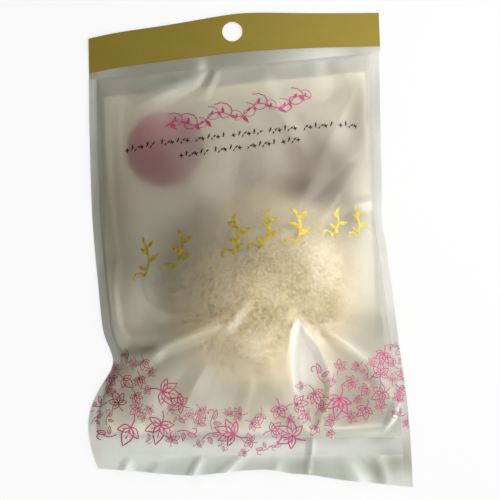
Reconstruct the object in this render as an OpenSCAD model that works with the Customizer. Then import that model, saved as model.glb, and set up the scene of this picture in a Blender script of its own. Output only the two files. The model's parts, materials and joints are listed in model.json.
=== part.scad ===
// A half-ball konjac sponge in its sealed film bag, lying on its back.
// Millimetres. The origin is the middle of the bag's outline on the surface that it lies on,
// +X is to the right, +Y towards the header and +Z out of the front.

/* [Bag] */
// Width of the bag, laid flat
bag_w = 120; // [100:1:140]
// Length of the bag, from the skirt's lowest corner to the header's highest edge
bag_l = 185; // [165:1:210]
// Thickness of one layer of film, thicker than the real film so that it can be handled as a solid
film_t = 0.15; // [0.1:0.05:0.25]
// Width of each side weld
side_weld_w = 3; // [2:0.5:5]
// Height of the ribbed weld at the bottom
bottom_weld_h = 6.2; // [4:0.2:8]

/* [Header] */
// Height of the printed header band
header_h = 14.5; // [13:0.5:18]
// Radius of the hang hole
hang_hole_r = 4; // [2.5:0.5:5]
// How far the hang hole's centre lies left of the bag's middle
hang_hole_left = 2.4; // [0:0.2:10]
// How far the hang hole's centre lies below the header's top edge
hang_hole_drop = 7.1; // [6:0.1:8]
// Height of the plain weld under the printed band, at its ends
top_weld_h = 1.6; // [1:0.2:4]
// Free film on each side of the line along which the header folds
fold_gap = 0.45; // [0.4:0.05:0.8]

/* [Skirt] */
// Height of the loose skirt under the bottom weld, at the left corner
skirt_left_h = 5.2; // [4:0.2:9]
// Height of the loose skirt at the right corner
skirt_right_h = 11.8; // [9:0.2:14]
// How high the front layer of the skirt lifts off the back layer
skirt_lift = 2.4; // [1:0.2:5]
// Waves along the free edge of the skirt's front layer
skirt_waves = 3; // [1:1:5]

/* [Sponge] */
// Diameter of the sponge's flat back
sponge_d = 75; // [60:1:80]
// Height of the sponge from its flat back to the top of its dome
sponge_h = 29; // [20:1:36]
// Radius of the rim between the flat back and the dome
sponge_rim_r = 3; // [1:0.5:5]
// How far the sponge's centre lies right of the bag's middle
sponge_x = 6.4; // [0:0.2:9]
// How far the sponge's centre lies below the bag's middle
sponge_drop = 17; // [10:0.5:20]
// How far the sponge can be pushed towards the header
sponge_travel = 5; // [1:0.5:8]
// Running gap between the sponge and the card or film round it
sponge_gap = 0.4; // [0.3:0.05:0.8]

/* [Insert card] */
// Width of the card, where the bag leaves room for it
card_w = 102; // [80:1:104]
// Thickness of the card
card_t = 0.35; // [0.2:0.05:0.6]
// How far the card's middle lies left of the bag's middle
card_left = 2; // [0:0.5:4]
// Room between the card and a side weld
card_side_gap = 1.2; // [0.8:0.2:3]
// Room between the card and the bottom weld
card_bottom_gap = 2.2; // [1.5:0.1:8]
// Room between the card and the header's fold line
card_top_gap = 8; // [4:0.5:20]

/* [Folds] */
// Height of the tall pleat in the front film, between the sponge and the bottom weld
pleat_h = 4.2; // [2:0.2:6]
// Reach of a fold's slope to each side of its crest
fold_reach = 4.8; // [3:0.2:7]

/* [Hidden] */

$fn = 96;
half_w = bag_w / 2;
half_l = bag_l / 2;
stack_t = 2 * film_t;
cut_over = film_t;

// Sides of the bag as it lies, from the lowest point up: [share of the half length, share of the
// half width]. The left side is pinched in below the sponge, and both sides are drawn in by it.
left_side_shares = [
    [-0.893, -0.940], [-0.841, -0.970], [-0.746, -1.000], [-0.651, -0.987], [-0.557, -0.912],
    [-0.500, -0.850], [-0.462, -0.823], [-0.413, -0.860], [-0.363, -0.897], [-0.265, -0.915],
    [-0.067, -0.943], [0.134, -0.967], [0.388, -0.978], [0.595, -0.983], [0.904, -0.983]
];
right_side_shares = [
    [-1.000, 1.000], [-0.780, 0.998], [-0.590, 0.982], [-0.400, 0.952], [-0.200, 0.930],
    [0.000, 0.900], [0.100, 0.882], [0.209, 0.895], [0.354, 0.898], [0.769, 0.915], [0.984, 0.925]
];

// Header's top edge and the skirt's free edge, from left to right: [share of the half width,
// share of the half length]. The header droops to the left and the skirt's edge is wavy.
top_edge_shares = [
    [-0.983, 0.904], [-0.800, 0.928], [-0.485, 0.956], [-0.170, 0.986], [-0.012, 0.999],
    [0.150, 1.000], [0.400, 0.994], [0.925, 0.984]
];
skirt_edge_shares = [
    [-0.940, -0.893], [-0.730, -0.905], [-0.530, -0.921], [-0.330, -0.931], [-0.137, -0.920],
    [0.083, -0.914], [0.153, -0.918], [0.245, -0.934], [0.370, -0.940], [0.550, -0.963],
    [0.800, -0.983], [1.000, -1.000]
];
// Height of the printed band along the header, in shares of its nominal height
band_height_shares = [[-0.983, 0.96], [-0.400, 1.02], [-0.018, 1.09], [0.450, 0.98], [0.925, 0.93]];

// Smooth curve through a table of [key, value] knots in rising order of their keys
function knot(table, i) = table[min(max(i, 0), len(table) - 1)];
function span_at(table, key, i = 0) =
    i >= len(table) - 2 || key <= table[i + 1][0] ? i : span_at(table, key, i + 1);
function curve_at(table, key) =
    let (
        i = span_at(table, key),
        before = knot(table, i - 1), low = knot(table, i),
        high = knot(table, i + 1), after = knot(table, i + 2),
        span = high[0] - low[0],
        s = (key - low[0]) / span,
        slope_low = span * (high[1] - before[1]) / (high[0] - before[0]),
        slope_high = span * (after[1] - low[1]) / (after[0] - low[0])
    )
    (2 * s * s * s - 3 * s * s + 1) * low[1] + (s * s * s - 2 * s * s + s) * slope_low
    + (3 * s * s - 2 * s * s * s) * high[1] + (s * s * s - s * s) * slope_high;

// Outline of the bag
function left_x(y) = half_w * curve_at(left_side_shares, y / half_l);
function right_x(y) = half_w * curve_at(right_side_shares, y / half_l);
function top_y(x) = half_l * curve_at(top_edge_shares, x / half_w);
function skirt_y(x) = half_l * curve_at(skirt_edge_shares, x / half_w);
function band_y(x) = top_y(x) - header_h * curve_at(band_height_shares, x / half_w);
function left_in(y) = [left_x(y) + side_weld_w, y];
function right_in(y) = [right_x(y) - side_weld_w, y];

// Corners of the outline
top_left = [half_w * top_edge_shares[0][0], half_l * top_edge_shares[0][1]];
top_right = [
    half_w * top_edge_shares[len(top_edge_shares) - 1][0],
    half_l * top_edge_shares[len(top_edge_shares) - 1][1]
];
low_left = [half_w * skirt_edge_shares[0][0], half_l * skirt_edge_shares[0][1]];
low_right = [
    half_w * skirt_edge_shares[len(skirt_edge_shares) - 1][0],
    half_l * skirt_edge_shares[len(skirt_edge_shares) - 1][1]
];

// Straight lines across the bag: the header's fold and the two edges of the bottom weld
function line_y(a, b, x) = a[1] + (b[1] - a[1]) * (x - a[0]) / (b[0] - a[0]);
fold_left = [top_left[0], band_y(top_left[0]) - top_weld_h];
fold_right = [top_right[0], band_y(top_right[0]) - top_weld_h];
function fold_y(x) = line_y(fold_left, fold_right, x);
function weld_low_y(x) = line_y(
    [low_left[0], low_left[1] + skirt_left_h], [low_right[0], low_right[1] + skirt_right_h], x);
function weld_high_y(x) = weld_low_y(x) + bottom_weld_h;

// Corners of the room between the welds
function inner_left(y) = left_in(y)[0];
function inner_right(y) = right_in(y)[0];
room_high_left_y = fold_y(inner_left(fold_left[1])) - fold_gap;
room_high_right_y = fold_y(inner_right(fold_right[1])) - fold_gap;
room_low_left_y = weld_high_y(inner_left(low_left[1]));
room_low_right_y = weld_high_y(inner_right(low_right[1]));

// Rim of the room, once round: up the left weld, along the fold, down the right weld and back
// along the bottom weld
side_steps = 26;
high_steps = 16;
low_rim_steps = 28;
function mix(a, b, s) = a + (b - a) * s;
left_rim = [for (i = [0 : side_steps]) left_in(mix(room_low_left_y, room_high_left_y, i / side_steps))];
right_rim = [for (i = [0 : side_steps]) right_in(mix(room_high_right_y, room_low_right_y, i / side_steps))];
high_rim = [for (i = [1 : high_steps - 1]) mix(left_rim[side_steps], right_rim[0], i / high_steps)];
low_rim = [for (i = [1 : low_rim_steps - 1]) mix(right_rim[side_steps], left_rim[0], i / low_rim_steps)];
rim = concat(left_rim, high_rim, right_rim, low_rim);

// Sponge
sponge_r = sponge_d / 2;
sponge_y = -sponge_drop;
sponge_z = film_t + card_t + sponge_gap;
dome_steps = 16;

function dome_point(i) =
    let (angle = 90 * i / dome_steps)
    [sponge_r * cos(angle), sponge_rim_r + (sponge_h - sponge_rim_r) * sin(angle)];
function rim_point(i) =
    let (angle = -90 + 90 * i / dome_steps)
    [sponge_r - sponge_rim_r + sponge_rim_r * cos(angle), sponge_rim_r + sponge_rim_r * sin(angle)];

module sponge() {
    color([0.87, 0.82, 0.71])
        translate([sponge_x, sponge_y, sponge_z])
            rotate_extrude()
                polygon(concat(
                    [[0, 0]],
                    [for (i = [0 : 2 : dome_steps]) rim_point(i)],
                    [for (i = [1 : dome_steps]) dome_point(i)]));
}

// Insert card, its left edge pushed in where the bag is pinched
card_steps = 24;
card_low_left_y = room_low_left_y + card_bottom_gap;
card_low_right_y = room_low_right_y + card_bottom_gap;
card_high_left_y = room_high_left_y - card_top_gap;
card_high_right_y = room_high_right_y - card_top_gap;
function card_left_x(y) = max(-card_left - card_w / 2, inner_left(y) + card_side_gap);
function card_right_x(y) = min(-card_left + card_w / 2, inner_right(y) - card_side_gap);

module insert_card() {
    color([0.93, 0.92, 0.88])
        translate([0, 0, film_t])
            linear_extrude(card_t)
                polygon(concat(
                    [for (i = [0 : card_steps])
                        let (y = mix(card_low_left_y, card_high_left_y, i / card_steps))
                        [card_left_x(y), y]],
                    [for (i = [0 : card_steps])
                        let (y = mix(card_high_right_y, card_low_right_y, i / card_steps))
                        [card_right_x(y), y]]));
}

module back_film() {
    color([0.84, 0.86, 0.82])
        linear_extrude(film_t)
            polygon(rim);
}

// Crests of the folds in the front film, each from one end to the other: [share of the half width,
// share of the half length, share of the pleat's height]
fold_crest_shares = [
    // tall pleat, a leaf with two raised edges
    [[0.31, -0.33, 0.05], [0.27, -0.39, 0.52], [0.25, -0.46, 0.90], [0.26, -0.53, 1.00],
     [0.27, -0.60, 1.00], [0.30, -0.66, 0.86], [0.34, -0.72, 0.57], [0.39, -0.78, 0.19]],
    [[0.31, -0.33, 0.05], [0.35, -0.40, 0.48], [0.42, -0.45, 0.76], [0.48, -0.53, 1.00],
     [0.50, -0.60, 1.05], [0.48, -0.66, 0.81], [0.45, -0.72, 0.52], [0.40, -0.79, 0.19]],
    // from the pinched left side up to the sponge, and down to the side weld
    [[-0.80, -0.46, 0.24], [-0.68, -0.46, 0.71], [-0.57, -0.45, 0.90], [-0.48, -0.42, 0.76],
     [-0.37, -0.40, 0.57], [-0.20, -0.36, 0.43], [-0.10, -0.31, 0]],
    [[-0.55, -0.45, 0.29], [-0.63, -0.49, 0.62], [-0.73, -0.52, 0.57], [-0.83, -0.56, 0.29],
     [-0.90, -0.58, 0]],
    // from the sponge to the lower right corner
    [[0.45, -0.37, 0], [0.52, -0.40, 0.43], [0.60, -0.44, 0.76], [0.72, -0.50, 0.86],
     [0.85, -0.59, 0.76], [0.92, -0.67, 0.48], [0.92, -0.73, 0.10]],
    // from the sponge up to the right side weld, and the dart there
    [[0.48, 0.04, 0], [0.55, 0.11, 0.43], [0.62, 0.17, 0.67], [0.72, 0.25, 0.57], [0.88, 0.39, 0]],
    [[0.86, 0.15, 0.30], [0.78, 0.13, 0.55], [0.78, 0.08, 0.43], [0.81, 0.02, 0.20], [0.82, -0.03, 0]],
    // from the header's droop into the bag
    [[-0.22, 0.77, 0.20], [-0.26, 0.74, 0.60], [-0.31, 0.70, 0.71], [-0.40, 0.66, 0.57],
     [-0.55, 0.62, 0.33], [-0.68, 0.58, 0]]
];
function fold_point(shares) = [half_w * shares[0], half_l * shares[1]];
function fold_run_z(p, low, high) =
    let (
        a = fold_point(low),
        along = fold_point(high) - a,
        s = min(max((p - a) * along / (along * along), 0), 1),
        away = norm(p - a - along * s)
    )
    pleat_h * mix(low[2], high[2], s) * max(0, 1 - away / fold_reach);
function fold_z(p) =
    max([for (crest = fold_crest_shares) for (i = [1 : len(crest) - 1])
        fold_run_z(p, crest[i - 1], crest[i])]);

// Front film: straight from the welds to where it meets the dome, with room for the sponge to move,
// and folded. It is a fan of strips from the middle of the sponge's travel out to the rim.
tent_shares = [0, 0.07, 0.14, 0.21, 0.28, 0.35, 0.42, 0.5, 0.58, 0.66, 0.74, 0.82, 0.88, 0.94, 1];
tent_rings = len(tent_shares) - 1;
tent_mid = [sponge_x, sponge_y + sponge_travel / 2];
over_r = sponge_r + sponge_gap;
over_h = sponge_h + sponge_gap;

// Height of the film over the sponge alone, wherever the sponge stands in its travel
function over_sponge(p) =
    let (
        nearest_y = min(max(p[1], sponge_y), sponge_y + sponge_travel),
        away = norm([p[0] - sponge_x, p[1] - nearest_y]) / over_r
    )
    away < 1 ? sponge_z + sponge_rim_r + (over_h - sponge_rim_r) * sqrt(1 - away * away) : film_t;
function ray_point(i, share) = mix(tent_mid, rim[i], share);
function tent_z(i, share) =
    share >= 1 ? film_t : max([for (touch = tent_shares) if (touch <= share)
        film_t + (over_sponge(ray_point(i, touch)) - film_t) * (1 - share) / (1 - touch)]);
function tent_layer(lift) = concat(
    [[tent_mid[0], tent_mid[1], over_sponge(tent_mid) + lift]],
    [for (k = [1 : tent_rings]) for (i = [0 : len(rim) - 1])
        let (p = ray_point(i, tent_shares[k]), fold = k < tent_rings ? fold_z(p) : 0)
        [p[0], p[1], tent_z(i, tent_shares[k]) + fold + lift]]);

// Index of a point of the fan: ring 0 is the single middle point
function fan(k, i) = k == 0 ? 0 : 1 + (k - 1) * len(rim) + i % len(rim);

module front_film() {
    count = len(rim);
    layer = 1 + tent_rings * count;
    color([0.90, 0.92, 0.88, 0.6])
        polyhedron(
            points = concat(tent_layer(0), tent_layer(film_t)),
            faces = concat(
                [for (i = [0 : count - 1]) [fan(0, i), fan(1, i), fan(1, i + 1)]],
                [for (k = [1 : tent_rings - 1]) for (i = [0 : count - 1])
                    each [[fan(k, i), fan(k + 1, i), fan(k + 1, i + 1)],
                          [fan(k, i), fan(k + 1, i + 1), fan(k, i + 1)]]],
                [for (i = [0 : count - 1])
                    [layer + fan(0, i), layer + fan(1, i + 1), layer + fan(1, i)]],
                [for (k = [1 : tent_rings - 1]) for (i = [0 : count - 1])
                    each [[layer + fan(k, i), layer + fan(k + 1, i + 1), layer + fan(k + 1, i)],
                          [layer + fan(k, i), layer + fan(k, i + 1), layer + fan(k + 1, i + 1)]]],
                [for (i = [0 : count - 1])
                    each [[fan(tent_rings, i), layer + fan(tent_rings, i), layer + fan(tent_rings, i + 1)],
                          [fan(tent_rings, i), layer + fan(tent_rings, i + 1), fan(tent_rings, i + 1)]]]));
}

// Side welds: both layers fused, from the fold line down to the skirt's free edge
low_steps = 6;
function low_left_y(i) = mix(skirt_y(inner_left(low_left[1])), room_low_left_y, i / low_steps);
function low_right_y(i) = mix(skirt_y(inner_right(low_right[1])), room_low_right_y, i / low_steps);

module left_side_weld() {
    color([0.78, 0.80, 0.76])
        linear_extrude(stack_t)
            polygon(concat(
                [low_left],
                [for (i = [1 : low_steps - 1]) [left_x(low_left_y(i)), low_left_y(i)]],
                [for (p = left_rim) [p[0] - side_weld_w, p[1]]],
                [for (i = [side_steps : -1 : 0]) left_rim[i]],
                [for (i = [low_steps - 1 : -1 : 0]) left_in(low_left_y(i))]));
}

module right_side_weld() {
    color([0.84, 0.86, 0.83])
        linear_extrude(stack_t)
            polygon(concat(
                [low_right],
                [for (i = [1 : low_steps - 1]) [right_x(low_right_y(i)), low_right_y(i)]],
                [for (i = [side_steps : -1 : 0]) [right_rim[i][0] + side_weld_w, right_rim[i][1]]],
                right_rim,
                [for (i = [low_steps - 1 : -1 : 0]) right_in(low_right_y(i))]));
}

// Bottom weld and skirt stand between the side welds, below the room
function weld_foot_left() = left_in(room_low_left_y - bottom_weld_h);
function weld_foot_right() = right_in(room_low_right_y - bottom_weld_h);
function left_below_weld() = [for (i = [1 : low_steps - 1])
    if (low_left_y(i) > weld_foot_left()[1]) left_in(low_left_y(i))];
function right_below_weld() = [for (i = [low_steps - 1 : -1 : 1])
    if (low_right_y(i) > weld_foot_right()[1]) right_in(low_right_y(i))];

module bottom_weld() {
    color([0.86, 0.88, 0.84])
        linear_extrude(stack_t)
            polygon(concat(
                [weld_foot_left()], left_below_weld(), [left_rim[0]],
                [right_rim[side_steps]], right_below_weld(), [weld_foot_right()]));
}

skirt_steps = 30;
skirt_rows = 4;
// Point of the skirt: along its width and down from the weld
function skirt_point(along, down) =
    let (
        top = mix(weld_foot_left(), weld_foot_right(), along),
        x_low = mix(inner_left(low_left[1]), inner_right(low_right[1]), along),
        low = [x_low, skirt_y(x_low)]
    )
    mix(top, low, down);
function skirt_z(along, down) =
    skirt_lift * down * sin(180 * along) * (1 - cos(360 * skirt_waves * along)) / 2;
skirt_outline = concat(
    [for (i = [0 : skirt_steps]) skirt_point(i / skirt_steps, 1)],
    [for (i = [skirt_steps : -1 : 0]) skirt_point(i / skirt_steps, 0)]);

module skirt_back() {
    color([0.80, 0.82, 0.79])
        linear_extrude(film_t)
            polygon(skirt_outline);
}

module skirt_front() {
    row = skirt_steps + 1;
    layer = row * (skirt_rows + 1);
    function at(j, i) = j * row + i;
    color([0.88, 0.90, 0.87, 0.6])
        polyhedron(
            points = [for (lift = [film_t, stack_t]) for (j = [0 : skirt_rows]) for (i = [0 : skirt_steps])
                let (p = skirt_point(i / skirt_steps, j / skirt_rows))
                [p[0], p[1], lift + skirt_z(i / skirt_steps, j / skirt_rows)]],
            faces = concat(
                [for (j = [0 : skirt_rows - 1]) for (i = [0 : skirt_steps - 1])
                    each [[at(j, i), at(j, i + 1), at(j + 1, i + 1)],
                          [at(j, i), at(j + 1, i + 1), at(j + 1, i)]]],
                [for (j = [0 : skirt_rows - 1]) for (i = [0 : skirt_steps - 1])
                    each [[layer + at(j, i), layer + at(j + 1, i + 1), layer + at(j, i + 1)],
                          [layer + at(j, i), layer + at(j + 1, i), layer + at(j + 1, i + 1)]]],
                [for (i = [0 : skirt_steps - 1])
                    each [[at(0, i), layer + at(0, i), layer + at(0, i + 1)],
                          [at(0, i), layer + at(0, i + 1), at(0, i + 1)],
                          [at(skirt_rows, i), at(skirt_rows, i + 1), layer + at(skirt_rows, i + 1)],
                          [at(skirt_rows, i), layer + at(skirt_rows, i + 1), layer + at(skirt_rows, i)]]],
                [for (j = [0 : skirt_rows - 1])
                    each [[at(j, 0), at(j + 1, 0), layer + at(j + 1, 0)],
                          [at(j, 0), layer + at(j + 1, 0), layer + at(j, 0)],
                          [at(j, skirt_steps), layer + at(j, skirt_steps), layer + at(j + 1, skirt_steps)],
                          [at(j, skirt_steps), layer + at(j + 1, skirt_steps), at(j + 1, skirt_steps)]]]));
}

// Crease in the film on which the header turns
module fold_crease() {
    color([0.80, 0.82, 0.78])
        translate([fold_left[0], fold_left[1], film_t])
            rotate([0, 0, atan2(fold_right[1] - fold_left[1], fold_right[0] - fold_left[0])])
                rotate([0, 90, 0])
                    cylinder(h = norm(fold_right - fold_left), r = film_t);
}

// Header: a plain weld above the fold line, then two printed layers with the hang hole through both
header_steps = 24;
function header_x(i) = mix(top_left[0], top_right[0], i / header_steps);
hang_hole_at = [-hang_hole_left, top_y(-hang_hole_left) - hang_hole_drop];

module top_weld() {
    color([0.82, 0.83, 0.78])
        linear_extrude(stack_t)
            polygon(concat(
                [[top_left[0], fold_y(top_left[0]) + fold_gap],
                 [top_right[0], fold_y(top_right[0]) + fold_gap]],
                [for (i = [header_steps : -1 : 0]) [header_x(i), band_y(header_x(i))]]));
}

module header_layer() {
    difference() {
        linear_extrude(film_t)
            polygon(concat(
                [for (i = [0 : header_steps]) [header_x(i), band_y(header_x(i))]],
                [for (i = [header_steps : -1 : 0]) [header_x(i), top_y(header_x(i))]]));
        translate([hang_hole_at[0], hang_hole_at[1], -cut_over])
            cylinder(h = film_t + 2 * cut_over, r = hang_hole_r);
    }
}

module header_back() {
    color([0.50, 0.43, 0.17])
        header_layer();
}

module header_front() {
    color([0.55, 0.48, 0.19])
        translate([0, 0, film_t])
            header_layer();
}

echo(fold_pivot = [mix(fold_left[0], fold_right[0], 0.5), mix(fold_left[1], fold_right[1], 0.5), film_t]);
echo(fold_axis = (fold_right - fold_left) / norm(fold_right - fold_left));
echo(hang_hole_at = hang_hole_at);

sponge();
insert_card();
back_film();
front_film();
left_side_weld();
right_side_weld();
bottom_weld();
skirt_back();
skirt_front();
fold_crease();
top_weld();
header_back();
header_front();
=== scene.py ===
"""A half-ball konjac sponge and its insert in a heat-sealed frosted film bag, lying on its back."""
import json
import math

import bpy
import numpy as np
from mathutils import Matrix, Vector
from mathutils.bvhtree import BVHTree
from mathutils.geometry import delaunay_2d_cdt

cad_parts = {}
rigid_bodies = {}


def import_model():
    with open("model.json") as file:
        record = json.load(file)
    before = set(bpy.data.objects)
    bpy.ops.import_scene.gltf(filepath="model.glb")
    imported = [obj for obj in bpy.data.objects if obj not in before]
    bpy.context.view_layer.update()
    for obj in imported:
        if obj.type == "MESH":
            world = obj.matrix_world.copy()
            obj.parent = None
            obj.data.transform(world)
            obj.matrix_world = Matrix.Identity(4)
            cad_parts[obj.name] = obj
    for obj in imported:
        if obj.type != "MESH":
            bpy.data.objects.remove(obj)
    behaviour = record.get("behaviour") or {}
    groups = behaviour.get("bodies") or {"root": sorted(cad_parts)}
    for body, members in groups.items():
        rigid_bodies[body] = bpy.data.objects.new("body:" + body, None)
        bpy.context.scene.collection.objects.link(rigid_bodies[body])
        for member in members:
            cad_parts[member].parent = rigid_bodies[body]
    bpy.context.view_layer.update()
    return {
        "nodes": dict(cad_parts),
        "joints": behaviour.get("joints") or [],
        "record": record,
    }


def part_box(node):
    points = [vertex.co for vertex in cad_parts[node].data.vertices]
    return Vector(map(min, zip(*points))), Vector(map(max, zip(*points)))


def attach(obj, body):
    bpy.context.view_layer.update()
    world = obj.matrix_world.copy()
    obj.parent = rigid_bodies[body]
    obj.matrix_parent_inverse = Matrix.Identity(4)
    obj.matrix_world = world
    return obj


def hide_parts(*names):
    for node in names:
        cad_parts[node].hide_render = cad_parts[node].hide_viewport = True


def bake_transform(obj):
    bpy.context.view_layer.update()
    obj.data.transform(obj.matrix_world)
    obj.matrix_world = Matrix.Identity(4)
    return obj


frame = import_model()

# Camera
# The picture is taken from almost straight above, leaning a little towards the bag's foot.
MM = 0.001
CAMERA_AIM = (2.2 * MM, -2.0 * MM, 0)
CAMERA_AWAY = 444 * MM
CAMERA_LEAN = math.radians(9)
CAMERA_ROLL = math.radians(1.58)
SENSOR = 36
LENS = 83.6

camera_data = bpy.data.cameras.new("camera")
camera_data.sensor_width = SENSOR
camera_data.lens = LENS
camera_data.clip_start = 10 * MM
camera = bpy.data.objects.new("camera", camera_data)
bpy.context.scene.collection.objects.link(camera)
bpy.context.scene.camera = camera
camera_turn = Matrix.Rotation(CAMERA_LEAN, 4, "X") @ Matrix.Rotation(-CAMERA_ROLL, 4, "Z")
camera.matrix_world = (
    Matrix.Translation(Vector(CAMERA_AIM) + camera_turn.to_3x3() @ Vector((0, 0, CAMERA_AWAY)))
    @ camera_turn
)

# Studio
# The bag lies on a white floor in a pale room. A large soft lamp stands at its right, a second one
# beyond its foot, and a small weak one beyond its header.
FLOOR_HALF = 1.5
FLOOR_WHITE = (0.9, 0.9, 0.9, 1)
FLOOR_GLOW = 0.93
FLOOR_GLOW_THROUGH = 0.1
FLOOR_DOWN = -0.05 * MM
SHADE_REACH = 7 * MM
SHADE_FROM, SHADE_LEFT = 0.4, 0.7
LAMP_COLOUR = (1.0, 0.99, 0.97)
# Each lamp: its name, place, aim and size in mm, its spread in degrees and its watts
LAMPS = (
    ("key_lamp", (195, 50, 120), (30, 20, 0), 150, 130, 0.22),
    ("fill_lamp", (30, -320, 210), (0, -60, 0), 220, 180, 0.62),
    ("top_lamp", (100, 205, 110), (38, 66, 0), 110, 75, 0.02),
)
ROOM_COLOUR = (1.0, 0.97, 0.89, 1)
ROOM_STRENGTH = 0.09
SHARP_FROM = math.radians(50)


def new_material(name):
    """An empty node material and its node tree."""
    material = bpy.data.materials.new(name)
    material.use_nodes = True
    material.node_tree.nodes.clear()
    return material, material.node_tree


def add_node(tree, kind, inputs=(), **settings):
    """A node with its settings, and with a value or another node's output in each input given."""
    node = tree.nodes.new(kind)
    for key, value in settings.items():
        setattr(node, key, value)
    for key, value in dict(inputs).items():
        if isinstance(value, bpy.types.NodeSocket):
            tree.links.new(value, node.inputs[key])
        else:
            node.inputs[key].default_value = value
    return node


def as_surface(tree, shader):
    """Puts a shader out as the surface of its material."""
    add_node(tree, "ShaderNodeOutputMaterial", {"Surface": shader.outputs[0]})


def maths(tree, operation, first, second=0):
    """The result of one sum in a node tree."""
    return add_node(tree, "ShaderNodeMath", {0: first, 1: second}, operation=operation).outputs[0]


def ranged(tree, value, source, target=(0, 1), easing="LINEAR"):
    """A value moved from one range to another, and kept inside that."""
    node = add_node(tree, "ShaderNodeMapRange", {
        "Value": value, "From Min": source[0], "From Max": source[1],
        "To Min": target[0], "To Max": target[1],
    }, interpolation_type=easing)
    return node.outputs[0]


def glow_share(tree):
    """How much the floor glows: most to camera and glossy rays, less through the frosted film, and
    less near the bag as painted shadow.
    """
    path = add_node(tree, "ShaderNodeLightPath")
    share = 0
    for ray, glow in (
        ("Is Camera Ray", FLOOR_GLOW), ("Is Glossy Ray", FLOOR_GLOW),
        ("Is Transmission Ray", FLOOR_GLOW_THROUGH),
    ):
        share = maths(tree, "MAXIMUM", share, maths(tree, "MULTIPLY", path.outputs[ray], glow))
    # Painted shadow: ambient occlusion dims the glow near the bag
    under = add_node(tree, "ShaderNodeAmbientOcclusion", {"Distance": SHADE_REACH})
    near = ranged(tree, under.outputs["AO"], (SHADE_FROM, 1), (SHADE_LEFT, 1))
    return maths(tree, "MULTIPLY", share, near)


def floor_material():
    """White paper that glows by a share, with painted shadow near the bag, and takes the bag's soft
    shade with the rest.
    """
    material, tree = new_material("white_floor")
    diffuse = add_node(tree, "ShaderNodeBsdfDiffuse", {"Color": FLOOR_WHITE})
    glow = add_node(tree, "ShaderNodeEmission", {"Strength": 1})
    as_surface(tree, add_node(tree, "ShaderNodeMixShader", {
        0: glow_share(tree), 1: diffuse.outputs[0], 2: glow.outputs[0],
    }))
    return material


def build_mesh(name, points, faces):
    """A mesh object at the origin from points in metres."""
    mesh = bpy.data.meshes.new(name)
    mesh.from_pydata([tuple(p) for p in points], [], [tuple(f) for f in faces])
    mesh.validate()
    mesh.update()
    mesh.shade_smooth()
    mesh.set_sharp_from_angle(angle=SHARP_FROM)
    thing = bpy.data.objects.new(name, mesh)
    bpy.context.scene.collection.objects.link(thing)
    return thing


def add_lamp(name, at, aim, size, spread, watts):
    """A soft square lamp that looks at a point. Its place and its size are in mm."""
    data = bpy.data.lights.new(name, "AREA")
    data.size = size * MM
    data.spread = math.radians(spread)
    data.energy = watts
    data.color = LAMP_COLOUR
    lamp = bpy.data.objects.new(name, data)
    bpy.context.scene.collection.objects.link(lamp)
    lamp.location = Vector(at) * MM
    lamp.rotation_euler = (Vector(aim) - Vector(at)).to_track_quat("-Z", "Y").to_euler()


floor = build_mesh(
    "floor",
    [(x * FLOOR_HALF, y * FLOOR_HALF, FLOOR_DOWN) for x, y in ((-1, -1), (1, -1), (1, 1), (-1, 1))],
    [(0, 1, 2, 3)],
)
floor.data.materials.append(floor_material())
for lamp_values in LAMPS:
    add_lamp(*lamp_values)

room = bpy.data.worlds.new("room")
bpy.context.scene.world = room
room.use_nodes = True
room_tree = room.node_tree
room_tree.nodes.clear()
room_light = add_node(
    room_tree, "ShaderNodeBackground", {"Color": ROOM_COLOUR, "Strength": ROOM_STRENGTH}
)
room_white = add_node(room_tree, "ShaderNodeBackground", {"Strength": 1})
room_path = add_node(room_tree, "ShaderNodeLightPath")
room_mix = add_node(room_tree, "ShaderNodeMixShader", {
    0: room_path.outputs["Is Camera Ray"], 1: room_light.outputs[0], 2: room_white.outputs[0],
})
add_node(room_tree, "ShaderNodeOutputWorld", {"Surface": room_mix.outputs[0]})
bpy.context.scene.view_settings.view_transform = "Standard"

# Outline of the bag
# The bag is two sheets of frosted film, welded along the sides, under the header and above the
# skirt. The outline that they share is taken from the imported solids, so each region meets the next.
OUTLINE_STEP = 0.5
OUTLINE_SMOOTH = 2.2
SLANT_ROOM = 3
ROOM_ROUNDS = 3
joints = {joint["name"]: joint for joint in frame["joints"]}
FOLD_AT = np.array(joints["header_fold"]["pos_m"]) / MM
FOLD_ALONG = np.array(joints["header_fold"]["axis"])


def cut_across(node, axis, at):
    """Where the line through a flat node at one coordinate, in mm, enters and leaves its outline."""
    mesh = frame["nodes"][node].data
    points = np.array([v.co for v in mesh.vertices]) / MM
    edges = np.array([e.vertices[:] for e in mesh.edges])
    a, b = points[edges[:, 0]], points[edges[:, 1]]
    crosses = (a[:, axis] - at) * (b[:, axis] - at) < 0
    a, b = a[crosses], b[crosses]
    share = (at - a[:, axis]) / (b[:, axis] - a[:, axis])
    other = 1 - axis
    found = a[:, other] + (b[:, other] - a[:, other]) * share
    return found.min(), found.max()


def outline_curve(node, axis, side, margin=0.3):
    """A smooth function of one coordinate, in mm, that follows one side of a flat node's outline."""
    low, high = (corner[axis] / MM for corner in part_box(node))
    stations = np.arange(low + margin, high - margin, OUTLINE_STEP)
    values = np.array([cut_across(node, axis, at)[side] for at in stations])
    reach = int(3 * OUTLINE_SMOOTH / OUTLINE_STEP)
    weights = np.exp(-0.5 * (np.arange(-reach, reach + 1) * OUTLINE_STEP / OUTLINE_SMOOTH) ** 2)
    before = 2 * values[0] - values[reach:0:-1]
    after = 2 * values[-1] - values[-2 : -reach - 2 : -1]
    smooth = np.convolve(np.concatenate([before, values, after]), weights / weights.sum(), "valid")
    start_slope = (smooth[4] - smooth[0]) / (stations[4] - stations[0])
    end_slope = (smooth[-1] - smooth[-5]) / (stations[-1] - stations[-5])

    def follow(at):
        before_start, after_end = np.minimum(at - stations[0], 0), np.maximum(at - stations[-1], 0)
        return np.interp(at, stations, smooth) + start_slope * before_start + end_slope * after_end

    return follow


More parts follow.
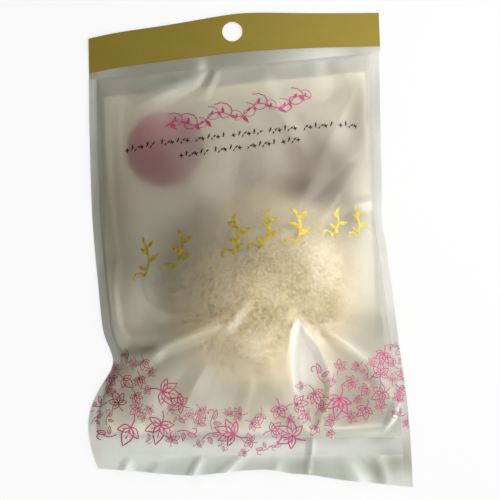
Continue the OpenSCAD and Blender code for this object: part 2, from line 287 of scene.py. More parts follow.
left_out = outline_curve("left_side_weld", 1, 0)
left_in = outline_curve("left_side_weld", 1, 1)
right_in = outline_curve("right_side_weld", 1, 0)
right_out = outline_curve("right_side_weld", 1, 1)
skirt_edge = outline_curve("skirt_back", 0, 0, SLANT_ROOM)
weld_low = outline_curve("bottom_weld", 0, 0, SLANT_ROOM)
weld_high = outline_curve("bottom_weld", 0, 1, SLANT_ROOM)


def fold_y(x):
    """The header's fold line, in mm."""
    return FOLD_AT[1] + (x - FOLD_AT[0]) * FOLD_ALONG[1] / FOLD_ALONG[0]


def fold_gap():
    """How far the room between the films ends below the fold line."""
    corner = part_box("front_film")[1] / MM
    return fold_y(corner[0]) - corner[1]


FOLD_GAP = fold_gap()


def room_top(x):
    """The upper end of the room between the films, just below the fold line."""
    return fold_y(x) - FOLD_GAP


def between(u, v, low, high, left, right, start=0.0, rounds=4):
    """Plan points, in mm, at shares u from a left to a right curve and v from a low to a high one."""
    x = np.full_like(u, start)
    for _ in range(rounds):
        y = low(x) * (1 - v) + high(x) * v
        x = left(y) * (1 - u) + right(y) * u
    return x, y


def across_room(u, v):
    """Plan points at shares u across and v up the room between the welds."""
    return between(u, v, weld_high, room_top, left_in, right_in, rounds=ROOM_ROUNDS)


# Film: frosted, blown thin and matt, and milky where it is doubled or welded
# Every web and weld of the bag shows this film's grain. A piece's attributes say where it is
# whiter, where it lies double and where highlights are painted, and darker where shade is painted,
# and where it is moist and clings to the sponge.
FILM_THICK = 0.12
FILM_TINT = (0.77, 0.76, 0.71, 1)
# The whiter tint of doubled film and of painted highlights, and the darker tint of painted shade
MILK_AND_HIGHLIGHT_TINT = (1.0, 1.0, 0.97, 1)
PAINTED_SHADE_TINT = (0.39, 0.36, 0.29, 1)
FILM_SHADE = (0.82, 0.81, 0.76, 1)
FILM_CLEAR = 0.76
FILM_ROUGH = 0.54
FILM_SHINE = 0.6
FILM_SHINE_ROUGH = 0.30
FILM_IOR = 1.25
STREAK_TONES = (0.94, 1.04)
CLING_SIZE, CLING_PATCH = 1.3 * MM, 9 * MM
CLING_DEPTH = 0.2 * MM
CLING_SMOOTH = 0.28
# The foam's pits carry painted shade and its crests painted highlight, where the film clings
CLING_PIT_SHADE, CLING_CREST_LIGHT = (0.75, 0.67, 0.50, 1), (1.0, 1.0, 0.96, 1)


def scaled(tree, vector, scale):
    """A colour or a direction times a number."""
    inputs = {0: vector, "Scale": scale}
    return add_node(tree, "ShaderNodeVectorMath", inputs, operation="SCALE").outputs[0]


def noise(tree, place, scale, detail=2):
    """Smooth random values over a place."""
    return add_node(tree, "ShaderNodeTexNoise", {"Vector": place, "Scale": scale, "Detail": detail})


def colour_mix(tree, share, first, second, blend="MIX"):
    """Two colours mixed: the first where the share is 0, and the second where it is 1."""
    mix = add_node(
        tree, "ShaderNodeMix", {0: share, 6: first, 7: second}, data_type="RGBA", blend_type=blend
    )
    return mix.outputs[2]


def object_place(tree):
    """The place on an object, in metres."""
    return add_node(tree, "ShaderNodeTexCoord").outputs["Object"]


def new_group(name, given, made):
    """A shader node group with named inputs, their kinds and values, and named outputs."""
    group = bpy.data.node_groups.new(name, "ShaderNodeTree")
    for socket, kind, value in given:
        new = group.interface.new_socket(socket, in_out="INPUT", socket_type="NodeSocket" + kind)
        if value is not None:
            new.default_value = value
    for socket, kind in made:
        group.interface.new_socket(socket, in_out="OUTPUT", socket_type="NodeSocket" + kind)
    return group, group.nodes.new("NodeGroupInput").outputs


def grain_group():
    """Shared effect: the fine orange-peel grain and faint milky streaks of blown film."""
    group, given = new_group("film_grain", (
        ("Grain size", "Float", 0.5), ("Grain depth", "Float", 0.02), ("Streak size", "Float", 14.0),
        ("Colour", "Color", (1, 1, 1, 1)), ("Roughness", "Float", 0.5),
    ), (("Colour", "Color"), ("Roughness", "Float"), ("Normal", "Vector")))
    place_mm = scaled(group, object_place(group), 1 / MM)
    fine = noise(group, place_mm, maths(group, "DIVIDE", 1, given["Grain size"]), 1)
    streak = noise(group, place_mm, maths(group, "DIVIDE", 1, given["Streak size"]), 3)
    bump = add_node(group, "ShaderNodeBump", {
        "Distance": MM, "Strength": given["Grain depth"], "Height": fine.outputs[0],
    })
    shade = ranged(group, streak.outputs[0], (0, 1), STREAK_TONES)
    add_node(group, "NodeGroupOutput", {
        "Colour": scaled(group, given["Colour"], shade),
        "Roughness": maths(group, "MULTIPLY", given["Roughness"], shade),
        "Normal": bump.outputs[0],
    })
    return group


FILM_GRAIN = grain_group()


def grained(tree, colour, roughness, grain_depth=0.02, grain_size=0.5, streak_size=14.0):
    """The film's grain, placed in a material with its own values. Its sizes are in mm."""
    return add_node(tree, "ShaderNodeGroup", {
        "Colour": colour, "Roughness": roughness, "Grain depth": grain_depth,
        "Grain size": grain_size, "Streak size": streak_size,
    }, node_tree=FILM_GRAIN)


def cling_group():
    """Moist film that clings to the sponge: smoother, with the crests and pits of the foam in it,
    painted lighter on the crests and darker in the pits.
    """
    group, given = new_group("film_cling", (
        ("Wetted", "Float", 0.0), ("Colour", "Color", (1, 1, 1, 1)), ("Roughness", "Float", 0.5),
        ("Normal", "Vector", None),
    ), (("Colour", "Color"), ("Roughness", "Float"), ("Normal", "Vector")))
    place = object_place(group)
    grains = add_node(group, "ShaderNodeTexVoronoi", {"Vector": place, "Scale": 1 / CLING_SIZE})
    grains = ranged(group, grains.outputs[0], (0.62, 0.12))
    pits = ranged(group, noise(group, place, 1 / CLING_SIZE).outputs[0], (0.32, 0.62))
    crest = maths(group, "MULTIPLY", maths(group, "ADD", grains, pits), 0.5)
    patch = ranged(group, noise(group, place, 1 / CLING_PATCH).outputs[0], (0.1, 0.62))
    share = maths(group, "MULTIPLY", given["Wetted"], patch)
    tone = colour_mix(group, crest, CLING_PIT_SHADE, CLING_CREST_LIGHT)
    rough = maths(group, "SUBTRACT", 1, maths(group, "MULTIPLY", given["Wetted"], CLING_SMOOTH))
    bump = add_node(group, "ShaderNodeBump", {
        "Distance": CLING_DEPTH, "Strength": share, "Height": crest, "Normal": given["Normal"],
    })
    add_node(group, "NodeGroupOutput", {
        "Colour": colour_mix(group, share, given["Colour"], tone, "MULTIPLY"),
        "Roughness": maths(group, "MULTIPLY", given["Roughness"], rough),
        "Normal": bump.outputs[0],
    })
    return group


FILM_CLING = cling_group()


def film_material(name, tint, clear, milk_and_light_tint=MILK_AND_HIGHLIGHT_TINT, clings=False):
    """Frosted film that lets the lamps through to what lies inside the bag."""
    material, tree = new_material(name)
    grain = grained(tree, tint, FILM_ROUGH)
    # An attribute whitens the film where it lies double and where highlights are painted, and below 0
    # darkens it with painted shade.
    folded = add_node(tree, "ShaderNodeAttribute", attribute_name="folded").outputs["Fac"]
    colour = colour_mix(tree, folded, grain.outputs["Colour"], milk_and_light_tint)
    colour = colour_mix(tree, maths(tree, "MULTIPLY", folded, -1), colour, PAINTED_SHADE_TINT)
    looks = {
        "Colour": colour, "Roughness": grain.outputs["Roughness"], "Normal": grain.outputs["Normal"],
    }
    if clings:
        looks["Wetted"] = add_node(tree, "ShaderNodeAttribute", attribute_name="wetted").outputs["Fac"]
        looks = add_node(tree, "ShaderNodeGroup", looks, node_tree=FILM_CLING).outputs
    body = add_node(tree, "ShaderNodeBsdfPrincipled", {
        "Base Color": looks["Colour"], "Roughness": looks["Roughness"], "Normal": looks["Normal"],
        "Transmission Weight": clear, "IOR": FILM_IOR,
        "Coat Weight": FILM_SHINE, "Coat Roughness": FILM_SHINE_ROUGH,
    })
    through = add_node(tree, "ShaderNodeBsdfTransparent", {"Color": FILM_SHADE})
    path = add_node(tree, "ShaderNodeLightPath")
    as_surface(tree, add_node(tree, "ShaderNodeMixShader", {
        0: path.outputs["Is Shadow Ray"], 1: body.outputs[0], 2: through.outputs[0],
    }))
    return material


# Back film: the sheet that the bag lies on
# It is the same frosted film, flat under the card, and is welded to the front film on every side.
# What lies over it shades it, so it is tinted darker than the front.
BACK_STEPS = 60
BACK_TINT = (0.42, 0.415, 0.365, 1)


def closed_sheet(name, x, y, low, high, material):
    """A thin closed sheet between two grids of heights over the same plan grid, all in mm."""
    rows, columns = x.shape
    layer = rows * columns
    points = np.concatenate([np.stack([x, y, z], axis=-1).reshape(-1, 3) for z in (low, high)]) * MM
    at = np.arange(layer).reshape(rows, columns)
    quads = np.stack([at[:-1, :-1], at[:-1, 1:], at[1:, 1:], at[1:, :-1]], axis=-1).reshape(-1, 4)
    rim = np.concatenate([at[0, :-1], at[:-1, -1], at[-1, :0:-1], at[:0:-1, 0]])
    after = np.roll(rim, -1)
    walls = np.stack([rim, after, after + layer, rim + layer], axis=-1)
    faces = np.concatenate([quads[:, ::-1], quads + layer, walls])
    sheet = build_mesh(name, points, faces)
    sheet.data.materials.append(material)
    return sheet


BACK_FILM = film_material("back_film_web", BACK_TINT, FILM_CLEAR)
back_u, back_v = np.meshgrid(np.linspace(0, 1, BACK_STEPS), np.linspace(0, 1, BACK_STEPS))
back_x, back_y = across_room(back_u, back_v)
back_film = closed_sheet(
    "bag_back", back_x, back_y, np.zeros_like(back_x), np.full_like(back_x, FILM_THICK), BACK_FILM
)
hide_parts("back_film")
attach(back_film, "bag")

# Front film: one sheet of the frosted film, drawn over the half ball and welded all round
# It runs straight from the welds to the sponge, with the folds that the packing left in it: crests
# and dents are pressed into that form, and where the film touches the moist sponge it clings.
FRONT_WIDE, FRONT_HIGH = 118, 160
FILM_STEP = 0.66
TENT_SOFTNESS, PRESS_SOFTNESS = 5.0, 0.9
TENT_TRIES, TENT_END = 28, 0.9
RIM_COUNT = 80
NOISE_WAVES = 14
# How far from the welds the waves, the crests, the dents and the card under the film show whole,
# and how high over the sponge the waves do
WAVES_FROM, CRESTS_FROM, DENTS_FROM, CARD_FROM = 6, 1.5, 2, 1.2
WAVES_ABOVE = 4
WRINKLE, WRINKLE_LENGTH = 0.32, 16
FINE_WRINKLE, FINE_LENGTH = 0.22 * WRINKLE, 7
PUCKER, PUCKER_COUNT, PUCKER_REACH = 0.30, 34, 7
PUCKER_SHIFT, PUCKER_SHIFT_LENGTH = 2.5, 30
WET_REACH = 1.6
WET_LOW, WET_RIGHT, WET_FADE = -50, 42, 12
WET_SHARE, WET_ACROSS = 0.85, 42
WET_SOFTNESS, CREASE_SOFTNESS = 8, 0.6
WELD_MILK, WELD_MILK_REACH = 0.8, 1.6
FOLD_MILK, FOLD_MILK_REACH = 0.35, 1.2
CARD_CLEAR = 0.45
HEADER_SWEEP = 0.8
SPONGE_LOW, SPONGE_HIGH = (np.array(corner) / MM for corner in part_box("sponge"))
SPONGE_GAP = 0.1
SPONGE_RIM = 3
SPONGE_TRAVEL = joints["sponge_slide"]["range_m"][1] / MM
# Where the film is folded: each crest is a list of (x, y, height, width to its left, width to its
# right) in mm, from its start to its end. Between its points a crest changes evenly.
CRESTS = [
    # from the header's droop into the bag
    [(-12, 75, 0.4, 2, 3), (-15, 69, 2.8, 2.5, 6), (-18, 64.5, 3.6, 3, 7),
     (-24, 61.5, 3.0, 4, 7), (-33, 57.5, 1.8, 5, 7), (-41, 54, 0, 4, 5)],
    [(-8, 74, 0.2, 2, 2), (-10, 66, 1.2, 2, 3), (-13, 60, 0.8, 3, 3), (-16, 56, 0, 3, 3)],
    # from the sponge up to the right side weld
    [(27, 2, 0, 7, 7), (33, 10, 1.5, 7, 8), (37, 15.5, 2.2, 7, 8), (43, 23.5, 1.8, 6, 7),
     (50, 32, 0.8, 4, 5), (53, 36, 0, 4, 4)],
    # dart at the right side weld
    [(54, 15.5, 0.6, 1.6, 3), (50, 14.2, 3.2, 1.6, 4), (46, 12.8, 3.2, 2, 5),
     (41, 9.8, 1.8, 2.5, 5), (36, 6.6, 0, 3, 4)],
    [(45, 13, 0.4, 3, 2), (46.5, 8.5, 1.4, 3, 2), (48, 3, 1.0, 3, 2), (49, -2, 0, 2.5, 2)],
    # from the pinched side weld to the top of the sponge
    [(-48, -43, 1.0, 2, 3), (-41, -42.5, 3.0, 4, 4), (-34, -41.5, 3.8, 7, 4),
     (-29, -38.5, 3.4, 8, 4), (-22.5, -37, 2.8, 8, 3.5), (-12, -33.5, 2.2, 8, 3),
     (-6, -28.5, 0.2, 6, 3)],
    [(-13, -39, 0, 4, 2), (-7, -34.5, 1.4, 5, 2.5), (-2.5, -29.5, 1.8, 5, 2.5),
     (0.5, -26, 1.2, 5, 2.5), (4, -22.5, 0, 4, 2)],
    [(-33, -42, 1.2, 3, 4), (-38, -45, 2.6, 3, 4), (-44, -48, 2.4, 3, 3), (-50, -51.5, 1.2, 2, 3),
     (-54, -54, 0, 2, 2)],
    # the tall pleat from the sponge down to the bottom weld: a leaf with two raised edges
    [(18.4, -30.5, 0.4, 1.5, 2), (16.4, -36, 2.4, 1.8, 6), (15.2, -43, 3.8, 2.2, 11),
     (15.4, -49, 4.2, 2.4, 13), (16.4, -55, 4.2, 2.4, 12), (18.2, -61, 3.6, 2.2, 9),
     (20.5, -67, 2.4, 1.8, 6), (23.5, -72.5, 0.8, 1.5, 3)],
    [(18.8, -31, 0.4, 2, 1.4), (21, -36.5, 2.6, 6, 1.6), (25.4, -42, 4.4, 11, 1.8),
     (28.8, -49, 5.4, 14, 1.8), (30, -55.5, 5.4, 13, 1.6), (29, -61, 4.2, 9, 1.6),
     (27, -67, 2.6, 6, 1.5), (24, -73, 0.8, 2, 1.5)],
    # from the sponge to the lower right corner, and its turn at the bottom weld
    [(26, -33, 0, 3, 3), (31, -37, 2.4, 6, 3.5), (36, -40.5, 4.2, 8, 4), (43.5, -46, 4.8, 9, 4.5),
     (51, -55, 3.8, 8, 4.5), (55.5, -62, 2.0, 5, 3), (56, -64, 0.8, 3, 3)],
    [(56, -62, 1.4, 2, 3), (53, -68, 2.6, 2, 2.5), (50.5, -72, 1.2, 2, 2), (49, -74, 0, 2, 2)],
    [(26, -71, 0.3, 3, 1.5), (34, -70.5, 1.6, 4, 1.6), (44, -70, 1.6, 4, 1.6),
     (52, -69, 0.3, 3, 1.5)],
    # faint folds round the sponge's left side
    [(-40, -9, 0, 3, 4), (-39, -14, 1.2, 3, 4), (-36, -21.5, 1.6, 3, 4), (-29, -27, 1.4, 3, 4),
     (-17, -30, 0, 3, 4)],
    [(-52, 55, 0, 2, 4), (-51.5, 38, 1.1, 2, 5), (-51, 18, 1.3, 2, 6), (-49, 0, 1.3, 2, 6),
     (-47, -16, 0.9, 2, 5), (-45, -28, 0, 2, 4)],
    [(-46, 62, 0, 2, 4), (-47.5, 46, 0.7, 2, 4), (-47, 28, 0.5, 2, 4), (-45, 15, 0, 2, 4)],
    [(-50, -5, 0, 2, 8), (-49.5, -18, 3.4, 2, 9), (-48, -30, 3.4, 2, 9), (-44, -38, 0, 2, 6)],
    # down the right side weld
    [(50, 64, 0, 4, 2), (50.5, 48, 1.0, 5, 2), (51, 32, 0.8, 5, 2), (51, 22, 0, 4, 2)],
    [(51, -8, 0, 4, 2), (53, -20, 1.2, 4, 2), (54, -34, 1.2, 4, 2), (56, -46, 0, 4, 2)],
    [(8, 70, 0, 4, 6), (12, 55, 0.8, 5, 8), (20, 38, 0.8, 5, 8), (27, 24, 0, 4, 6)],
    [(36, 71, 0, 3, 6), (44, 60, 0.8, 4, 7), (37, 46, 0.3, 5, 7), (32, 34, 0, 4, 5)],
    [(-14, -45, 0, 4, 5), (-20, -55, 1.4, 5, 6), (-24, -64, 1.2, 5, 6), (-27, -70, 0, 4, 5)],
    [(2, -50, 0, 4, 4), (1, -58, 1.0, 4, 5), (-1, -66, 0.8, 4, 5), (-2, -71, 0, 3, 3)],
]
# Where the film lies double in a fold, with painted highlights along it, and looks whiter: as the
# crests, with a share for the height
CREST_MILK_AND_HIGHLIGHTS = [
    [(18.2, -31, 1.2, 1.2, 4), (16.6, -37, 2.0, 1.6, 9), (15.6, -43, 2.2, 1.6, 14),
     (15.6, -49, 2.0, 1.6, 12), (16.8, -55, 1.8, 1.6, 8), (18.6, -61, 1.5, 1.6, 6),
     (20.8, -67, 1.2, 1.2, 4), (23.8, -73, 0.6, 1, 2)],
    [(19, -31, 0.6, 1.5, 1), (21.5, -36.5, 0.9, 3, 1), (25.8, -42, 1.1, 5, 1.1),
     (29.2, -49, 1.1, 4, 1.1), (30.4, -55.5, 1.1, 2.5, 1.1), (29.2, -61, 1.0, 1.6, 1),
     (27, -67, 0.8, 1.3, 1), (24, -73, 0.6, 1, 1)],
    [(-48, -43, 0.3, 1, 2), (-34, -41.5, 0.8, 1.8, 2.4), (-22.5, -37, 0.8, 1.8, 2.2),
     (-12, -33.5, 0.8, 1.6, 2), (-6, -28.5, 0.2, 1, 1)],
    [(-10, -36, 0, 1, 1), (-6, -33.5, 0.8, 1.4, 1.4), (-2, -29, 0.9, 1.5, 1.4),
     (2, -24.5, 0, 1, 1)],
    [(30, -36, 0.2, 2, 2), (36, -40.5, 0.8, 3, 2.4), (43.5, -46, 0.9, 3, 2.4),
     (51, -55, 0.9, 2.4, 2), (55.5, -62, 0.8, 1.6, 1.4)],
    [(55.5, -62, 0.8, 1.2, 1.2), (53, -68, 1.0, 1.4, 1.4), (50, -72, 0.8, 1.2, 1.2),
     (48, -74, 0.2, 1, 1)],
    [(-12, 75, 0.4, 1, 2), (-15, 69, 0.9, 1, 2.4), (-18, 64.5, 0.8, 1.5, 2.6),
     (-24, 61.5, 0.5, 2, 3), (-33, 57.5, 0.1, 2, 3)],
    [(55, 15, 0.5, 1.4, 2), (50, 13, 0.9, 1.6, 2.4), (46, 12, 0.8, 2, 2.4), (41, 11.5, 0, 2, 2)],
    [(26, -71, 0.2, 2, 1), (34, -70.5, 0.8, 2, 1.2), (44, -70, 0.8, 2, 1.2), (52, -69, 0.3, 2, 1)],
]
# Painted light and shade on the film: patches whitened as painted highlights, and below 0
# darkened as painted shade: (x, y, share, reach x, reach y)
PAINTED_LIGHT_PATCHES = [
    # the header's end, the droop under it and the card's upper half
    (36, 72, 0.75, 22, 9), (6, 64, 0.35, 16, 6), (-14.5, 68.5, 0.7, 2, 5), (-26, 61.5, 0.45, 8, 2.5),
    (45, 50, -0.6, 6, 20), (-52, 60, 0.25, 6, 14), (-29, 38, -0.3, 14, 14), (31, 29, -1.0, 11, 10),
    (25, 17, -0.95, 13, 5.5),
    # down both sides
    (-49, 18, -0.55, 8, 18), (-48, -5, -0.4, 7, 14), (-41, -24, 1.0, 6, 9), (57, 8, 0.9, 6, 70),
    (-48, -43.5, 0.4, 3, 2.5), (-36, -40.5, -1.0, 4.5, 2), (47, -33, -0.5, 8, 10),
    # over the sponge
    (40, 8, -0.8, 6, 7), (24, -6, 0.35, 14, 12), (38, -8, 0.15, 8, 13), (33, -2, -0.35, 9, 9),
    (7, -23, 0.8, 17, 8), (38, -23, 0.35, 8, 7), (2, -36, 0.5, 15, 9),
    # the foot and the skirt
    (-54, -62, 0.8, 5, 6), (-48, -71, 0.95, 16, 5), (4, -74, 0.6, 12, 7), (40, -72.5, 0.6, 17, 3),
    (-40, -78, 0.8, 14, 5), (-54, -84, 0.8, 12, 8), (20, -83, -0.5, 7, 4), (53, -81, -0.5, 6, 5),
    (48, -86, -0.5, 14, 5), (58, -90, 0.7, 5, 4),
]
# Dents: (x, y, depth, reach along x, reach along y) in mm
DENTS = [
    (-41, -38.5, 3.6, 6, 2.6), (-46, -45.5, 1.2, 3, 2), (40, -57, 5.0, 8, 7), (33, -47, 2.0, 3, 5),
    (49, 6, 1.5, 4, 4), (22, -62, 1.4, 3, 6), (8, -62, 2.0, 7, 6), (36, -52, 2.4, 4, 6),
]
# Air that holds the film off the sponge: (x, y, height, reach along x, reach along y) in mm
AIR = [(-20, 8, 1.3, 22, 20), (-30, -20, 0.6, 12, 14)]
CREST_ROUND = 0.35
MEET_ROUND = 0.3


def room_rim():
    """The room's outline, once round."""
    way = np.linspace(0, 1, RIM_COUNT, endpoint=False)
    zero, one = np.zeros(RIM_COUNT), np.ones(RIM_COUNT)
    sides = [(way, zero), (one, way), (1 - way, one), (zero, 1 - way)]
    return np.concatenate([np.stack(across_room(u, v), axis=-1) for u, v in sides])


SPONGE_MID = (SPONGE_LOW + SPONGE_HIGH) / 2
SPONGE_R = (SPONGE_HIGH[0] - SPONGE_LOW[0]) / 2
TENT_MID = SPONGE_MID[:2] + np.array([0, SPONGE_TRAVEL / 2])
rim_ways = room_rim() - TENT_MID
rim_angles = np.arctan2(rim_ways[:, 1], rim_ways[:, 0])
rim_order = np.argsort(rim_angles)
rim_angles = rim_angles[rim_order]
rim_reach = np.hypot(*rim_ways.T)[rim_order]


def over_sponge(x, y):
    """Height of the sponge's dome and its gap, wherever the sponge stands in its travel."""
    nearest = np.clip(y, SPONGE_MID[1], SPONGE_MID[1] + SPONGE_TRAVEL)
    away = np.hypot(x - SPONGE_MID[0], y - nearest) / (SPONGE_R + SPONGE_GAP)
    rim = SPONGE_LOW[2] + SPONGE_RIM
    rise = SPONGE_HIGH[2] + SPONGE_GAP - rim
    return np.where(away < 1, rim + rise * np.sqrt(np.clip(1 - away**2, 0, 1)), 0)


def tent_height(x, y):
    """Height of a film that runs straight from the welds to where it meets the sponge's dome."""
    dx, dy = x - TENT_MID[0], y - TENT_MID[1]
    reach = np.interp(np.arctan2(dy, dx), rim_angles, rim_reach, period=2 * np.pi)
    share = np.clip(np.hypot(dx, dy) / reach, 0, 1)
    best = over_sponge(x, y)
    for touch in np.linspace(0, TENT_END, TENT_TRIES):
        scale = np.divide(touch, share, out=np.zeros_like(share), where=share > 1e-6)
        there = over_sponge(TENT_MID[0] + dx * scale, TENT_MID[1] + dy * scale)
        best = np.maximum(best, np.where(touch <= share, there * (1 - share) / (1 - touch), 0))
    return best


def crest_height(crest, x, y):
    """Height that one fold adds: a sharp crest that falls away on each side over its own width."""
    crest = np.array(crest, float)
    nearest = np.full(x.shape, 1e9)
    height = np.zeros(x.shape)
    for a, b in zip(crest[:-1], crest[1:]):
        along = b[:2] - a[:2]
        share = ((x - a[0]) * along[0] + (y - a[1]) * along[1]) / (along @ along)
        share = np.clip(share, 0, 1)
        off_x, off_y = x - a[0] - along[0] * share, y - a[1] - along[1] * share
        away = np.hypot(off_x, off_y)
        on_left = along[0] * off_y - along[1] * off_x > 0
        values = a[2:, None] + (b[2:] - a[2:])[:, None] * share.ravel()
        rise, left, right = values.reshape(3, *x.shape)
        width = np.where(on_left, left, right)
        fall = np.clip(1 - (np.sqrt(away**2 + CREST_ROUND**2) - CREST_ROUND) / width, 0, 1)
        closer = away < nearest
        height = np.where(closer, rise * fall**1.25, height)
        nearest = np.minimum(nearest, away)
    return height


def soft_noise(x, y, size, seed):
    """Smooth random waves of about one size, in mm, from -1 to 1."""
    chance = np.random.default_rng(seed)
    total = np.zeros(x.shape)
    for _ in range(NOISE_WAVES):
        way = chance.uniform(0, 2 * np.pi)
        length = size * chance.uniform(0.7, 1.6)
        phase = chance.uniform(0, 2 * np.pi)
        total += np.sin(2 * np.pi * (x * np.cos(way) + y * np.sin(way)) / length + phase)
    return total / NOISE_WAVES**0.5 / 1.6


def blur_grid(values, sigma):
    """A grid of heights, softened over a number of its own steps."""
    reach = int(3 * sigma)
    weights = np.exp(-0.5 * (np.arange(-reach, reach + 1) / sigma) ** 2)
    weights /= weights.sum()
    for _ in range(2):
        padded = np.pad(values, ((reach, reach), (0, 0)), mode="edge")
        values = np.apply_along_axis(lambda line: np.convolve(line, weights, "valid"), 0, padded).T
    return values


def mound(x, y, at_x, at_y, height, reach_x, reach_y):
    """A round mound of one height that fades over its reach along x and along y."""
    return height * np.exp(-(((x - at_x) / reach_x) ** 2) - ((y - at_y) / reach_y) ** 2)


def keep_value(sheet, name, values):
    """Stores one value for each point of a mesh, for its material or its nodes."""
    sheet.data.attributes.new(name, "FLOAT", "POINT").data.foreach_set("value", values)


def keep_milk_and_painted_light(sheet, x, y, more=0):
    """Stores how much whiter a closed sheet is, up to 1, where it lies double and where highlights are
    painted, and below 0 how much painted shade darkens it.
    """
    share = np.clip(sum(mound(x, y, *patch) for patch in PAINTED_LIGHT_PATCHES) + more, -1, 1)
    keep_value(sheet, "folded", np.tile(share.ravel(), 2))


def eased(values, reach):
    """0 at or below nought, and evenly up to 1 at a reach."""
    return np.clip(values / reach, 0, 1)


def soft_max(first, second):
    """The higher of two grids of heights, rounded where they cross."""
    return (first + second + np.sqrt((first - second) ** 2 + MEET_ROUND**2)) / 2


front_u, front_v = np.meshgrid(
    np.linspace(0, 1, int(FRONT_WIDE / FILM_STEP)), np.linspace(0, 1, int(FRONT_HIGH / FILM_STEP))
)
front_x, front_y = across_room(front_u, front_v)
touching = over_sponge(front_x, front_y)
front_z = blur_grid(tent_height(front_x, front_y), TENT_SOFTNESS)
below_fold = np.clip(room_top(front_x) - front_y, 0, None)
above_weld = np.clip(front_y - weld_high(front_x), 0, None)
from_edge = np.minimum.reduce([
    front_x - left_in(front_y), right_in(front_y) - front_x, above_weld, below_fold,
])
from_edge = np.clip(from_edge, 0, None)
for air in AIR:
    front_z += mound(front_x, front_y, *air)
free = eased(from_edge, WAVES_FROM) * eased(front_z - touching, WAVES_ABOVE)
for crest in CRESTS:
    front_z += crest_height(crest, front_x, front_y) * eased(from_edge, CRESTS_FROM)
for dent in DENTS:
    front_z -= mound(front_x, front_y, *dent) * eased(from_edge, DENTS_FROM)
front_z += WRINKLE * free * soft_noise(front_x, front_y, WRINKLE_LENGTH, 4)
front_z += FINE_WRINKLE * free * soft_noise(front_x, front_y, FINE_LENGTH, 9)
around = np.arctan2(front_y - TENT_MID[1], front_x - TENT_MID[0])
shift = PUCKER_SHIFT * soft_noise(front_x, front_y, PUCKER_SHIFT_LENGTH, 2)
ripple = np.sin(around * PUCKER_COUNT + shift) * np.exp(-from_edge / PUCKER_REACH)
front_z += PUCKER * ripple * eased(from_edge, DENTS_FROM)
front_z = np.minimum(front_z, HEADER_SWEEP * below_fold)
card_under = eased(from_edge, CARD_FROM) * CARD_CLEAR
front_z = blur_grid(soft_max(soft_max(front_z, card_under), touching), PRESS_SOFTNESS)
front_z = soft_max(front_z, touching)
front_low = FILM_THICK + front_z * eased(from_edge, 1)
CLINGING_FILM = film_material("clinging_film", FILM_TINT, FILM_CLEAR, clings=True)
front_film = closed_sheet(
    "bag_front", front_x, front_y, front_low, front_low + FILM_THICK, CLINGING_FILM
)
wetted = np.exp(-((front_low - FILM_THICK - touching) / WET_REACH) ** 2) * (touching > 0)
to_foot = (front_x - SPONGE_MID[0]) - (front_y - SPONGE_MID[1])
wetted *= np.clip(WET_SHARE + to_foot / WET_ACROSS, 0, 1)
wetted *= eased(front_y - WET_LOW, WET_FADE) * eased(WET_RIGHT - front_x, WET_FADE)
keep_value(front_film, "wetted", np.tile(blur_grid(wetted, WET_SOFTNESS).ravel(), 2))
# Whiter along the folds, where the film lies double and highlights are painted, and near the bottom
# weld and the fold line
folded = np.zeros_like(front_x)
for crease in CREST_MILK_AND_HIGHLIGHTS:
    folded = np.maximum(folded, crest_height(crease, front_x, front_y))
weld_milk = WELD_MILK * np.exp(-(front_y - weld_high(front_x)) / WELD_MILK_REACH)
fold_milk = FOLD_MILK * np.exp(-below_fold / FOLD_MILK_REACH)
folded = np.clip(np.maximum.reduce([folded, weld_milk, fold_milk]), 0, 1)
keep_milk_and_painted_light(front_film, front_x, front_y, blur_grid(folded, CREASE_SOFTNESS))

# Folds that have gone over
# There the front film lies on itself in a second layer. It is the same sheet, so it is joined to it.
# Each layer is given by its left and its right edge, as points of (x, y) in mm.
FOLDED_CLEAR = 0.42
FOLDED_FILM = film_material("folded_film", MILK_AND_HIGHLIGHT_TINT, FOLDED_CLEAR)
FOLDED_OVER = [
    ([(18.0, -31.2), (16.0, -35.0), (15.1, -40.0), (15.3, -47.2), (15.7, -51.0), (16.8, -56.0),
      (19.6, -63.6), (24.1, -71.0)],
     [(18.4, -31.2), (21.6, -35.3), (25.2, -40.2), (29.6, -47.7), (27.0, -52.0), (22.4, -56.8),
      (22.0, -64.2), (24.3, -71.0)]),
    ([(56.6, -61.0), (53.6, -66.5), (51.0, -71.0)], [(57.0, -61.4), (55.2, -67.2), (51.3, -71.4)]),
]
LAYER_GAP = 0.12
LAYER_COLUMNS, LAYER_ROWS = 22, 14
FRONT_TREE = BVHTree.FromObject(front_film, bpy.context.evaluated_depsgraph_get())


def folded_layer(left, right, count):
    """A second layer of film between two edges, laid on what the bag's front does there, and painted
    darker towards its lower right as shade.
    """
    along = np.linspace(1, 0, count)
    edges = []
    for edge in (left, right):
        edge = np.array(edge)
        edge = np.stack([np.interp(along, np.linspace(0, 1, len(edge)), edge[:, i]) for i in (0, 1)])
        for _ in range(6):
            edge[:, 1:-1] = (edge[:, :-2] + 2 * edge[:, 1:-1] + edge[:, 2:]) / 4
        edges.append(edge[:, :, None])
    share = np.linspace(0, 1, LAYER_COLUMNS)
    x, y = edges[0] * (1 - share) + edges[1] * share
    low = np.zeros_like(x)
    for at in np.ndindex(x.shape):
        hit = FRONT_TREE.ray_cast(Vector((x[at] * MM, y[at] * MM, 0.1)), Vector((0, 0, -1)))[0]
        low[at] = hit.z / MM if hit else 2 * FILM_THICK
    low += LAYER_GAP
    layer = closed_sheet("folded_layer", x, y, low, low + FILM_THICK, FOLDED_FILM)
    # Painted shade: the layer is darker towards its right edge and its lower end
    keep_milk_and_painted_light(layer, x, y, -0.5 * share * along[:, None])
    return layer


layers = [folded_layer(left, right, LAYER_ROWS * len(left)) for left, right in FOLDED_OVER]
with bpy.context.temp_override(
    active_object=front_film, selected_editable_objects=[front_film] + layers
):
    bpy.ops.object.join()
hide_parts("front_film")
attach(front_film, "bag")

